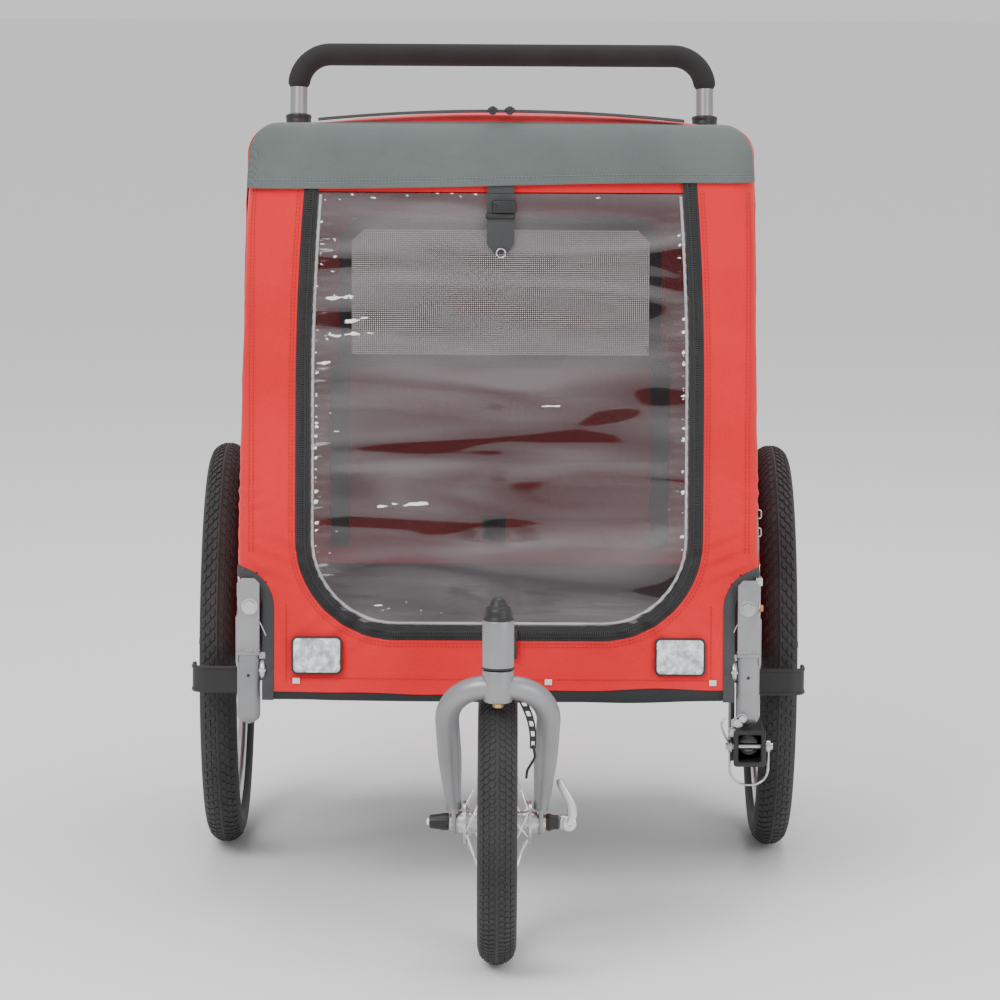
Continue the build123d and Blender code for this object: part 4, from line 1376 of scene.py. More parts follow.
def makeStrap():
    def place(u, t):
        z = strapLow.z + (panelTop - strapLow.z) * t
        half = 0.0158 * (1 - 0.42 * (1 - smoothStep(z, strapLow.z, strapLow.z + 0.012)))
        return strapPoint(-0.0002 + (u - 0.5) * 2 * half, z, 0.0007 * math.cos((u - 0.5) * math.pi))

    strap = gridPiece("frontStrap", 12, 34, place)
    turnOutwards(strap, Vector((0, 0.15, 0.6)))
    thicken(strap, 0.0016)
    return strap


strap = makeStrap()
finishPiece(strap, "frontStrap", "window", finish["webbing"], ["front_strap"], 60)
foldsAway(strap)
ring = turnedPiece(
    "strapRing",
    [(math.sin(a * math.pi / 6) * 0.0011, 0.0052 + 0.0011 * math.cos(a * math.pi / 6)) for a in range(13)],
    (0.0005, frontY(strapLow.z) - 0.0068, strapLow.z - 0.0005), "Y", 28,
)
finishPiece(ring, "strapRing", "window", finish["steel"])
foldsAway(ring)
toggleLow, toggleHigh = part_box("strap_toggle")
toggleY = toggleLow.y - 0.001
barrel = blockPiece(
    "toggleBody", (toggleLow.x - 0.001, toggleY - 0.0034, toggleLow.z - 0.0015),
    (toggleHigh.x + 0.001, toggleY + 0.0045, toggleHigh.z - 0.0025), 0.0026, 4,
)
ridge = blockPiece(
    "toggleRidge", (toggleLow.x + 0.004, toggleY - 0.0042, toggleLow.z + 0.0025),
    (toggleHigh.x - 0.004, toggleY - 0.0024, toggleHigh.z - 0.0055), 0.001, 3,
)
loop = blockPiece(
    "toggleLoop", (-0.0175, toggleY - 0.0012, toggleLow.z - 0.0075),
    (0.017, toggleY + 0.0035, toggleLow.z - 0.0018), 0.0014, 3,
)
toggle = joined("strapToggle", [barrel, ridge, loop])
finishPiece(toggle, "strapToggle", "window", finish["rubber"], ["strap_toggle"])
foldsAway(toggle)
header = gridPiece(
    "strapRoot", 8, 8, lambda u, t: strapPoint((u - 0.5) * 0.0316, panelTop + 0.0006 + 0.021 * t, 0.0),
)
turnOutwards(header, Vector((0, 0.15, 0.6)))
thicken(header, 0.0016)
coverPiece(header, "strapRoot", finish["webbing"])
print("window done")


# bindings, seams and stitches
def notchLine(side, spacing=0.004):
    half, high = notchCut["half"], notchCut["high"]
    reach = cover["half"] - cover["edge"] + cover["edge"] * math.pi / 2 + 0.02
    line = flatLine([(reach, high), (half, high), (half, 0.2475)], notchCut["corner"], spacing)
    return [(a * side, z) for a, z in line]


def bandProfile(inner, outer, lift=0.0009, edge=0.0012):
    # a flat tape turned over the cloth's edge
    return [
        (inner, -0.0016), (inner - edge * 0.4, 0.0), (inner, lift), ((inner + outer) / 2, lift * 1.15),
        (outer - edge, lift), (outer, 0.0001),
    ]


def thread(name, line, lift, slotName="red_fabric", material="red", pitch=0.0042):
    path = [frontSkin(a, z, lift)[0] for a, z in line]
    row = stitchRow(name, path, lambda p: Vector((0, -1, 0.0877)), pitch)
    return row


for side, label in ((1, "Left"), (-1, "Right")):
    sign = 1 if side < 0 else -1
    profile = [(sign * across, lift) for across, lift in bandProfile(-0.0006, 0.0118)]
    binding = wallStrip("notchBinding" + label, notchLine(side), profile)
    thicken(binding, 0.0006)
    coverPiece(binding, "notchBinding" + label, finish["webbing"])
print("bindings done")

seamRows = []
for side in (1, -1):
    for offset in (0.2915, 0.287):
        line = [(side * offset, 0.42 + 0.42 * step / 60) for step in range(61)]
        seamRows.append(thread("seamRow", line, 0.0006))
    edge = [(side * (notchCut["half"] - 0.016), 0.27 + 0.09 * step / 12) for step in range(13)]
    seamRows.append(thread("seamRow", edge, 0.0006))
baseLine = [(-0.245 + 0.49 * step / 60, 0.273) for step in range(61)]
seamRows.append(thread("seamRow", baseLine, 0.0007))
for inset in (-0.0035, -0.007):
    line = windowLine(inset, 0.84)
    seamRows.append(thread("seamRow", line, 0.0006, pitch=0.0046))
seams = joined("frontSeams", seamRows)
coverPiece(seams, "frontSeams", finish["thread"])


def flapStitches():
    rows = []
    for height in (0.0075, 0.0105):
        path = []
        for step in range(101):
            x = (step / 100 - 0.5) * 0.588
            low = 0.8462 + 0.0012 * math.sin(x * 11) + 0.0044 * x / 0.27
            at, out = wallPoint(x, low + height, 0.0, -1)
            path.append(at + out * (0.0064 + 0.001 * noise.noise(at * 12)))
        rows.append(stitchRow("flapRow", path, lambda p: Vector((0, -1, 0.08)), 0.0044))
    return joined("flapStitches", rows)


coverPiece(flapStitches(), "flapStitches", finish["greyThread"])

# small tabs in the bottom seam; their white is a painted glint
tabs = []
for x in (-0.236, 0.0585, 0.2505):
    at, out = frontSkin(x, 0.27, 0.0016)
    tabs.append(
        blockPiece(
            "tab", at - Vector((0.0042, 0.0006, 0.0032)), at + Vector((0.0042, 0.0006, 0.0036)), 0.0004, 2,
        )
    )
coverPiece(joined("seamTabs", tabs), "seamTabs", finish["paintedGlintTab"])

# roof zipper, on the arch behind the flap, with its two sliders
zipLow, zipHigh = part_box("roof_zipper")
roofZipY = (zipLow.y + zipHigh.y) / 2


def roofZipPoint(x):
    return Vector((x, roofZipY, roofHeight(x, roofZipY + 0.012) + 0.0028))


path = [roofZipPoint(zipLow.x + (zipHigh.x - zipLow.x) * step / 90) for step in range(91)]
roofZip = sweepPiece("roofZipper", path, (0, 0, 1), zipperShape)
turnOutwards(roofZip, Vector((0, -0.166, 0.3)))
thicken(roofZip, 0.0008)
coverPiece(roofZip, "roofZipper", finish["zipper"], ["roof_zipper"])
for side, label in ((1, "left"), (-1, "right")):
    low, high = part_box("roof_pull_" + label)
    x = (low.x + high.x) / 2
    base = roofZipPoint(x)
    shell = blockPiece(
        "pullShell", base + Vector((-0.0058, -0.007, 0.0008)), base + Vector((0.0058, 0.0065, 0.0052)),
        0.002, 3,
    )
    tongue = blockPiece(
        "pullTongue", (x - 0.003, low.y - 0.01, base.z + 0.004), (x + 0.003, base.y, base.z + 0.0062),
        0.0009, 3,
    )
    knob = turnedPiece(
        "pullKnob",
        [
            (0, 0), (0, 0.004), (0.0006, 0.005), (0.003, 0.0052), (0.0044, 0.0044), (0.005, 0.0026),
            (0.005, 0),
        ],
        (x, low.y - 0.0155, base.z + 0.0036), "Y", 24,
    )
    pull = joined("roofPull", [shell, tongue, knob])
    finishPiece(
        pull, "roofPull" + label.capitalize(), "roof_slider_" + label, finish["rubber"],
        ["roof_pull_" + label],
    )
    foldsAway(pull)


# reflectors: a lens in a dark rim
def shapedPlate(name, outline, thickness, bevel, place):
    # outline in the plate's own plane, thickness towards the viewer; place turns (a, b, depth) into a point
    corners = [place(a, b, 0.0) for a, b in outline] + [place(a, b, thickness) for a, b in outline]
    count = len(outline)
    faces = [tuple(range(count)), tuple(range(2 * count - 1, count - 1, -1))]
    faces += [(i, (i + 1) % count, count + (i + 1) % count, count + i) for i in range(count)]
    mesh = bpy.data.meshes.new(name)
    mesh.from_pydata([tuple(c) for c in corners], [], faces)
    obj = bpy.data.objects.new(name, mesh)
    bpy.context.scene.collection.objects.link(obj)
    inEditMode(obj)
    bpy.ops.mesh.normals_make_consistent(inside=False)
    bpy.ops.object.mode_set(mode="OBJECT")
    if bevel:
        roundOff(obj, bevel, 2, 50)
    return obj


def roundedOutline(halfWide, halfHigh, radius, steps=7):
    out = []
    for cx, cz, start in ((1, 1, 0), (-1, 1, 90), (-1, -1, 180), (1, -1, 270)):
        for step in range(steps + 1):
            turn = math.radians(start + 90 * step / steps)
            out.append(
                (
                    cx * (halfWide - radius) + radius * math.cos(turn),
                    cz * (halfHigh - radius) + radius * math.sin(turn),
                )
            )
    return out


reflectLow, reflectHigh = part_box("front_reflectors")
halfWide, halfHigh = 0.0295, (reflectHigh.z - reflectLow.z) / 2
lenses, rims = [], []
for x in (reflectHigh.x - halfWide, reflectLow.x + halfWide):
    middle = Vector((x, frontY(0.3) - 0.0012, (reflectLow.z + reflectHigh.z) / 2))
    tilt = Matrix.Rotation(-math.atan(cover["lean"]), 3, "X")

    def place(a, b, depth, middle=middle, tilt=tilt):
        return middle + tilt @ Vector((a, -depth, b))

    rims.append(
        shapedPlate("reflectorRim", roundedOutline(halfWide, halfHigh, 0.0065), 0.0052, 0.0008, place)
    )
    outline = roundedOutline(halfWide - 0.0022, halfHigh - 0.0022, 0.005)
    lenses.append(shapedPlate("reflectorLens", outline, 0.0064, 0.0009, place))
finishPiece(joined("reflectorRims", rims), "reflectorRims", "root", finish["plastic"])
finishPiece(
    joined("reflectorLenses", lenses), "reflectorLenses", "root", finish["reflector"],
    ["front_reflectors"],
)
print("trimmings done")

# what shows through the window: net, its dark border, dark bands down the rear wall, a patch and the floor
def rearSkin(a, z, lift=0.0):
    return Vector((a, cover["rearY"] - 0.0022 - lift, z)), Vector((0, -1, 0))


def facing(obj, direction):
    face = obj.data.polygons[0]
    if face.normal.dot(Vector(direction)) < 0:
        inEditMode(obj)
        bpy.ops.mesh.flip_normals()
        bpy.ops.object.mode_set(mode="OBJECT")


def netOutline(grow):
    half, low, high = netCut["half"] + grow, netCut["low"] - grow, netCut["high"] + grow
    cut = netCut["chamfer"] + grow * 0.4
    return [
        (-half, low), (half, low), (half, high - cut), (half - cut, high), (-half + cut, high),
        (-half, high - cut),
    ]


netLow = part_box("rear_mesh")[0]
netHalf = netCut["half"] + 0.006


def netPlace(u, t):
    x = (u - 0.5) * 2 * netHalf
    z = netCut["low"] - 0.006 + (netCut["high"] - netCut["low"] + 0.012) * t
    sag = 0.004 * math.sin(math.pi * u) * math.sin(math.pi * t)
    sag += 0.0016 * noise.noise(Vector((x * 9, 2.0, z * 9)))
    return Vector((x, netLow.y - 0.0004 - sag, z))


net = gridPiece("rearNet", 64, 32, netPlace)
facing(net, (0, -1, 0))
thicken(net, 0.0007)
coverPiece(net, "rearNet", finish["net"], ["rear_mesh"])

borderLine = netOutline(0.004)
borderLine = [(a, z) for a, z in borderLine] + [borderLine[0]]
dense = [(p.x, p.z) for p in evenPath([Vector((a, 0, z)) for a, z in borderLine], 0.006)]
rearBinding = [(-0.013, 0.0), (-0.0125, 0.0014), (-0.005, 0.0018), (0.0028, 0.0014), (0.0034, 0.0)]
border = wallStrip("netBorder", dense, rearBinding, rearSkin)
facing(border, (0, -1, 0))
thicken(border, 0.0008)
coverPiece(border, "netBorder", finish["webbing"])


def rearOutside(a, z, lift=0.0):
    at = Vector((a, cover["rearY"], z))
    return at + Vector((0, crease(at + Vector((3, 0, 0))) + lift, 0)), Vector((0, 1, 0))


outerBinding = [(-0.0125, -0.0006), (-0.0118, 0.0007), (-0.005, 0.0012), (0.003, 0.0009), (0.0036, -0.0006)]
outerBorder = wallStrip("netOuterBorder", dense, outerBinding, rearOutside)
facing(outerBorder, (0, 1, 0))
thicken(outerBorder, 0.0008)
coverPiece(outerBorder, "netOuterBorder", finish["webbing"])
bands = []
for side in (1, -1):
    profile = [(-0.0125, 0.0), (-0.0118, 0.0016), (0.0, 0.0019), (0.0118, 0.0016), (0.0125, 0.0)]
    line = [(side * 0.2125 + 0.0012 * math.sin(step), 0.56 - 0.245 * step / 30) for step in range(31)]
    band = wallStrip("innerBand", line, profile, rearSkin)
    facing(band, (0, -1, 0))
    bands.append(band)
patchAt = {"left": -0.023, "wide": 0.031, "low": 0.323, "tall": 0.035, "gap": 0.004, "swell": 0.0008}


def patchPlace(u, t):
    y = cover["rearY"] - patchAt["gap"] - patchAt["swell"] * math.sin(math.pi * u)
    return Vector((patchAt["left"] + patchAt["wide"] * u, y, patchAt["low"] + patchAt["tall"] * t))


patch = gridPiece("innerPatch", 12, 14, patchPlace)
facing(patch, (0, -1, 0))
bands.append(patch)
inner = joined("innerBands", bands)
thicken(inner, 0.001)
coverPiece(inner, "innerBands", finish["webbing"])

floorLow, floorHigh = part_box("floor_panel")


def floorPlace(u, t):
    x = (u - 0.5) * 2 * 0.2995
    y = floorLow.y + (floorHigh.y - floorLow.y) * t
    inside = smoothStep(min(0.2995 - abs(x), y - floorLow.y, floorHigh.y - y), 0.0, 0.07)
    sag = 0.0045 * inside * (1 + noise.noise(Vector((x * 7, y * 7, 1.0))))
    return Vector((x, y, floorLow.z + 0.0065 - sag))


floorCloth = gridPiece("floorCloth", 60, 72, floorPlace)
facing(floorCloth, (0, 0, 1))
thicken(floorCloth, 0.0022)
finishPiece(floorCloth, "floorCloth", "root", finish["lining"], ["floor_panel"], 60)
print("inside done")

# tyres with raised tread: a middle rib and slanted blocks in rows
tyreRear = {
    "pitches": 108, "rows": ((7, 20, 0.0, 0.55), (22, 37, 0.45, 0.55), (40, 56, 0.9, 0.5)), "rise": 0.0013,
}
tyreFront = {
    "pitches": 112, "rows": ((7, 21, 0.0, 0.55), (24, 40, 0.45, 0.55), (43, 60, 0.9, 0.5)), "rise": 0.0012,
}


def torusPoint(middle, ringRadius, tube, turn, section):
    # section is degrees from the crown, turn radians round the wheel
    reach = ringRadius + tube * math.cos(math.radians(section))
    return middle + Vector(
        (tube * math.sin(math.radians(section)), -reach * math.sin(turn), reach * math.cos(turn))
    )


def makeTyre(name, node, tread):
    low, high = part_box(node)
    middle = (low + high) / 2
    full = (high.z - low.z) / 2
    halfWide = (high.x - low.x) / 2
    tube = halfWide - 0.0004
    ring = full - halfWide
    base = tube - tread["rise"]
    outline = []
    for step in range(41):
        section = -150 + 300 * step / 40
        radius = base
        if abs(section) < 5:
            radius = tube
        elif abs(section) > 62:
            radius = tube - 0.0006 + 0.0005 * hump(abs(section), 118, 4)
        outline.append(
            (radius * math.sin(math.radians(section)), ring + radius * math.cos(math.radians(section)))
        )
    outline.append(outline[0])
    carcass = turnedPiece(name, outline, middle, "X", 144)
    corners, faces = [], []
    stepTurn = 2 * math.pi / tread["pitches"]
    for index in range(tread["pitches"]):
        for start, end, shift, length in tread["rows"]:
            for side in (1, -1):
                begin = (index + shift + (0.5 if side < 0 else 0.0)) * stepTurn
                slant = 0.26 * stepTurn
                ids = []
                for section, extra in ((start, 0.0), (end, slant)):
                    for turn in (begin + extra, begin + extra + length * stepTurn):
                        for radius in (base - 0.001, tube + 0.0001):
                            ids.append(len(corners))
                            corners.append(torusPoint(middle, ring, radius, turn, section * side))
                a, b, c, d, e, f, g, h = ids
                faces += [
                    (b, d, h, f), (a, b, f, e), (c, g, h, d), (a, c, d, b), (e, f, h, g), (a, e, g, c),
                ]
    mesh = bpy.data.meshes.new(name + "Blocks")
    mesh.from_pydata([tuple(c) for c in corners], [], faces)
    blocks = bpy.data.objects.new(name + "Blocks", mesh)
    bpy.context.scene.collection.objects.link(blocks)
    inEditMode(blocks)
    bpy.ops.mesh.normals_make_consistent(inside=False)
    bpy.ops.object.mode_set(mode="OBJECT")
    roundOff(blocks, 0.00035, 1, 30)
    return joined(name, [carcass, blocks])


for label, body, tread in (
    ("left", "wheel_left", tyreRear), ("right", "wheel_right", tyreRear),
    ("front", "front_wheel", tyreFront),
):
    tyre = makeTyre("tyre" + label.capitalize(), "tyre_" + label, tread)
    finishPiece(tyre, "tyre" + label.capitalize(), body, finish["tyre"], ["tyre_" + label], 35)
print("tyres done")

# the front arm's head, the fork and the hub's ends
headLow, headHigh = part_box("head_tube")
headX, headY = (headLow.x + headHigh.x) / 2, (headLow.y + headHigh.y) / 2
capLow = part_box("head_cap")[0]
axleFrontZ = (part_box("skewer")[0].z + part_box("skewer")[1].z) / 2
axleFrontY = (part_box("skewer")[0].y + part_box("skewer")[1].y) / 2


def turnedAt(name, outline, x, y, axis="Z", count=56):
    return turnedPiece(name, outline, (x, y, 0), axis, count)


headOutline = [
    (headLow.z, 0.0), (headLow.z, 0.0166), (headLow.z + 0.0008, 0.0174), (headHigh.z - 0.0012, 0.0174),
    (headHigh.z - 0.0004, 0.0168), (headHigh.z, 0.016), (headHigh.z, 0.0),
]
headTube = turnedAt("headTube", headOutline, headX, headY)
roundOff(headTube, 0.0005, 2, 30)
finishPiece(headTube, "headTube", "arm", finish["silver"], ["head_tube"])
sealOutline = [
    (headLow.z - 0.0016, 0.0), (headLow.z - 0.0016, 0.0168), (headLow.z - 0.001, 0.0182),
    (headLow.z + 0.0004, 0.0182), (headLow.z + 0.0012, 0.017), (headLow.z + 0.0012, 0.0),
]
seal = turnedAt("headSeal", sealOutline, headX, headY)
finishPiece(seal, "headSeal", "arm", finish["rubber"])
base = capLow.z
capOutline = [
    (base - 0.0012, 0.0), (base - 0.0012, 0.016), (base - 0.0004, 0.0172), (base + 0.0014, 0.0172),
    (base + 0.0022, 0.016),
    (base + 0.003, 0.015), (base + 0.01, 0.0146), (base + 0.0128, 0.0134), (base + 0.0146, 0.0112),
    (base + 0.0158, 0.0094),
    (base + 0.0196, 0.0086), (base + 0.0226, 0.0066), (base + 0.0242, 0.0036), (base + 0.0248, 0.0),
]
cap = turnedAt("headCap", capOutline, headX, headY)
applyModifier(cap, "SUBSURF", levels=1, render_levels=1)
finishPiece(cap, "headCap", "arm", finish["rubber"], ["head_cap"])


def taperTube(name, path, radii, outward, count=24, squeeze=None):
    # a tube whose radius, and depth where squeezed, change along the path
    points = [Vector(p) for p in path]
    frames = []
    for index, point in enumerate(points):
        before, after = points[max(index - 1, 0)], points[min(index + 1, len(points) - 1)]
        along = (after - before).normalized()
        out = Vector(outward).normalized()
        side = along.cross(out).normalized()
        frames.append((point, side, side.cross(along).normalized()))

    def place(u, t):
        index = round(t * (len(points) - 1))
        at, side, out = frames[index]
        radius = radii[index]
        flat = squeeze[index] if squeeze else 1.0
        return at + side * (
            radius * math.cos(2 * math.pi * u) * flat
        ) + out * (radius * math.sin(2 * math.pi * u))

    obj = gridPiece(name, count, len(points) - 1, place)
    cleanMesh(obj, 0.00001)
    capEnds(obj)
    return obj


def forkLeg(side):
    # out of the crown, over the arch and down to a flat end
    top = Vector((0.004 * side, headY, 0.324))
    knee = Vector((0.059 * side, headY + 0.003, 0.333))
    foot = Vector((0.049 * side, axleFrontY - 0.001, 0.176))
    path = evenPath(roundedPath([top, knee, foot], 0.047, 16), 0.004)
    total = len(path) - 1
    radii, squeeze = [], []
    for index in range(total + 1):
        share = index / total
        radii.append(0.0132 - 0.004 * smoothStep(share, 0.6, 1.0))
        squeeze.append(1.0 - 0.66 * smoothStep(share, 0.66, 1.0))
    return taperTube("forkLeg", path, radii, (0, 1, 0), 28)


def forkEnd(side):
    # the slotted plate that holds the axle
    x = 0.0485 * side
    outline = [
        (-0.008, 0.03), (-0.011, 0.014), (-0.0125, 0.002), (-0.0115, -0.008), (-0.007, -0.0125),
        (-0.0035, -0.013), (-0.0034, 0.0), (0.0034, 0.0), (0.0035, -0.013), (0.007, -0.0125),
        (0.0115, -0.008), (0.0125, 0.002), (0.011, 0.014), (0.008, 0.03),
    ]
    return shapedPlate(
        "forkEnd", outline, 0.005, 0.0006,
        lambda a, b, depth: Vector((x - 0.0025 + depth, axleFrontY + a, axleFrontZ + b)),
    )


sleeveOutline = [
    (0.308, 0.0), (0.308, 0.012), (0.3092, 0.015), (0.316, 0.0168), (0.33, 0.0172), (0.3436, 0.0172),
    (0.3446, 0.0164), (0.3446, 0.0),
]
crown = [turnedAt("forkSleeve", sleeveOutline, headX, headY)]
for side in (1, -1):
    crown.append(forkLeg(side))
    crown.append(forkEnd(side))
roundOff(crown[0], 0.0006, 2, 30)
fork = joined("fork", crown)
finishPiece(fork, "fork", "steering_fork", finish["silver"], ["fork"])
nutOutline = [
    (0.302, 0.0), (0.302, 0.0046), (0.3028, 0.0058), (0.3075, 0.0062), (0.3085, 0.0056), (0.3085, 0.0),
]
nut = turnedAt("crownNut", nutOutline, headX, headY, "Z", 6)
roundOff(nut, 0.0005, 2, 30)
finishPiece(nut, "crownNut", "steering_fork", finish["brass"])

# hub ends: ribbed cone nut on the right, washers, and the lever's seat
ends = []
coneOutline = [
    (-0.0762, 0.0), (-0.0762, 0.005), (-0.0752, 0.0072), (-0.0735, 0.0078), (-0.065, 0.0084),
    (-0.06, 0.0094), (-0.0545, 0.0094), (-0.054, 0.0088), (-0.054, 0.0),
]
cone = turnedPiece("coneNut", coneOutline, (0, axleFrontY, axleFrontZ), "X", 40)
for vertex in cone.data.vertices:
    turn = math.atan2(vertex.co.z - axleFrontZ, vertex.co.y - axleFrontY)
    ridge = 1 + 0.035 * math.copysign(1, math.sin(turn * 10)) * smoothStep(vertex.co.x, -0.0745, -0.072)
    vertex.co.y = axleFrontY + (vertex.co.y - axleFrontY) * ridge
    vertex.co.z = axleFrontZ + (vertex.co.z - axleFrontZ) * ridge
seatOutline = [
    (0.054, 0.0), (0.054, 0.0088), (0.0548, 0.0095), (0.059, 0.0095), (0.0625, 0.0082), (0.068, 0.008),
    (0.0684, 0.0072), (0.0684, 0.0),
]
seat = turnedPiece("leverSeat", seatOutline, (0, axleFrontY, axleFrontZ), "X", 40)
finishPiece(
    joined("skewerEnds", [cone, seat]), "skewerEnds", "steering_fork", finish["rubber"],
    ["skewer_ends"],
)
tip = turnedPiece(
    "skewerTip", [(-0.079, 0.0), (-0.079, 0.003), (-0.0782, 0.004), (-0.0755, 0.0042), (-0.0755, 0.0)],
    (0, axleFrontY, axleFrontZ), "X", 24,
)
finishPiece(tip, "skewerTip", "steering_fork", finish["chrome"])
washers = []
seals = []
for x, wide in ((-0.0455, 0.0062), (0.0393, 0.0062), (0.0512, 0.005)):
    outline = [
        (x, 0.004), (x, 0.0082), (x + 0.0006, 0.0088), (x + wide - 0.0006, 0.0088), (x + wide, 0.0082),
        (x + wide, 0.004), (x, 0.004),
    ]
    washers.append(turnedPiece("washer", outline, (0, axleFrontY, axleFrontZ), "X", 36))
for x in (-0.0392, 0.0362, 0.0562):
    outline = [
        (x, 0.004), (x, 0.0094), (x + 0.0008, 0.0101), (x + 0.0022, 0.0101), (x + 0.003, 0.0094),
        (x + 0.003, 0.004), (x, 0.004),
    ]
    seals.append(turnedPiece("seal", outline, (0, axleFrontY, axleFrontZ), "X", 36))
finishPiece(joined("hubWashers", washers), "hubWashers", "steering_fork", finish["brass"])
finishPiece(joined("hubSeals", seals), "hubSeals", "steering_fork", finish["rubber"])

# quick-release lever: a cam at its pivot and a curved, flattened arm
leverLow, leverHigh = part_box("qr_lever")
camX = (leverLow.x + leverHigh.x) / 2
leverArm = [
    (camX + 0.002, -0.007, 0.0), (camX + 0.0065, -0.0072, 0.01), (camX + 0.005, -0.0074, 0.022),
    (camX - 0.001, -0.0074, 0.034), (camX - 0.007, -0.0072, 0.045), (camX - 0.009, -0.007, 0.05),
]
armPath = [Vector((x, axleFrontY + y, axleFrontZ + z)) for x, y, z in leverArm]
armPath = evenPath(roundedPath(armPath, [0.01, 0.014, 0.016, 0.012], 6), 0.0018)
count = len(armPath) - 1
radii = [0.003 - 0.0008 * smoothStep(i / count, 0.94, 1.0) for i in range(count + 1)]
squeeze = [1.75 - 0.3 * smoothStep(i / count, 0.2, 0.9) for i in range(count + 1)]
arm = taperTube("leverArm", armPath, radii, (0, 1, 0), 20, squeeze)
cam = turnedPiece(
    "leverCam",
    [
        (camX - 0.0078, 0.0), (camX - 0.0078, 0.007), (camX - 0.0066, 0.0086), (camX + 0.004, 0.009),
        (camX + 0.0066, 0.0076), (camX + 0.0074, 0.005), (camX + 0.0076, 0.0),
    ],
    (0, axleFrontY, axleFrontZ), "X", 40,
)
roundOff(cam, 0.0005, 2, 30)
disc = turnedPiece(
    "leverDisc",
    [
        (-0.0035, 0.0), (-0.0035, 0.003), (-0.0045, 0.0034), (-0.0045, 0.0072), (-0.0036, 0.0086),
        (0.004, 0.0088), (0.005, 0.0078), (0.005, 0.0),
    ],
    (camX + 0.0022, axleFrontY - 0.005, axleFrontZ), "Y", 40,
)
finishPiece(
    joined("quickLever", [arm, cam, disc]), "quickLever", "lever", finish["satin"], ["qr_lever"],
)

# perforated strap beside the tyre, with a thin tail
strapLow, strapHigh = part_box("fork_strap")
strapX = (strapLow.x + strapHigh.x) / 2


def strapSpine(t):
    # down along the leg, bowing out
    z = strapHigh.z + 0.006 - (strapHigh.z - strapLow.z + 0.014) * t
    return Vector(
        (strapX - 0.005 + 0.0125 * t + 0.0045 * math.sin(math.pi * t), (strapLow.y + strapHigh.y) / 2, z)
    )


holes = 5
columns, rows = 8, holes * 8
band = gridPiece(
    "forkStrap", columns, rows,
    lambda u, t: strapSpine(t) + Vector(((u - 0.5) * (0.0098 - 0.003 * t), 0.0, 0.0)),
)


def inHole(index):
    row, column = index // (columns + 1), index % (columns + 1)
    part = (row % 8) / 8
    return 0.3 < part < 0.7 and 3 <= column <= 5


holeSpots = {tuple(vertex.co) for index, vertex in enumerate(band.data.vertices) if inHole(index)}
cutAway(band, lambda co: tuple(co) in holeSpots)
facing(band, (0, -1, 0))
thicken(band, 0.0026, offset=0.0)
applyModifier(band, "SUBSURF", levels=2, render_levels=2)
tailTop = strapSpine(1.0)
tail = tubePiece(
    "strapTail",
    evenPath(
        roundedPath(
            [
                tailTop + Vector((0, 0, 0.004)), tailTop + Vector((0.003, 0, -0.009)),
                tailTop + Vector((-0.006, 0, -0.024)), tailTop + Vector((-0.007, 0, -0.033)),
            ],
            0.01, 6,
        ),
        0.002,
    ),
    0.0015, (0, 1, 0), 10,
)
finishPiece(
    joined("forkStrap", [band, tail]), "forkStrap", "steering_fork", finish["rubber"],
    ["fork_strap"], 50,
)
print("fork done")

# folding frame: the side hoops, leaning in to follow the cover and falling a little to the rear
hoop = {"radius": 0.009, "corner": 0.07, "lean": 0.0068, "fall": 0.036, "pivotZ": 0.358}


def makeHoop(side, label):
    low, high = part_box("hoop_" + label)
    foot = (low.x + high.x) / 2
    front, rear = low.y + hoop["radius"], high.y - hoop["radius"]
    top = high.z - hoop["radius"]
    upper = foot - side * hoop["lean"]
    start = front + 0.0002
    corners = [
        (foot, start, hoop["pivotZ"] + 0.004), (foot, start + 0.013, hoop["pivotZ"] + 0.036),
        (upper, start + 0.056, top),
        (upper, rear - 0.016, top - hoop["fall"]), (foot, rear, hoop["pivotZ"] + 0.004),
    ]
    path = evenPath(roundedPath(corners, [0.04, hoop["corner"], hoop["corner"]], 16), 0.008)
    tube = taperTube("hoop", path, [hoop["radius"]] * len(path), (1, 0, 0), 24)
    parts = [tube]
    for y in (front, rear):
        eye = turnedPiece(
            "hoopEye",
            [
                (-0.007, 0.0042), (-0.007, 0.0086), (-0.0062, 0.0094), (0.0062, 0.0094), (0.007, 0.0086),
                (0.007, 0.0042), (-0.007, 0.0042),
            ],
            (foot, y, hoop["pivotZ"]), "Y", 40,
        )
        parts.append(eye)
    return joined("hoop" + label.capitalize(), parts)


for side, label in ((1, "left"), (-1, "right")):
    piece = makeHoop(side, label)
    finishPiece(
        piece, "hoop" + label.capitalize(), "hoop_" + label + "_frame", finish["silver"],
        ["hoop_" + label],
    )


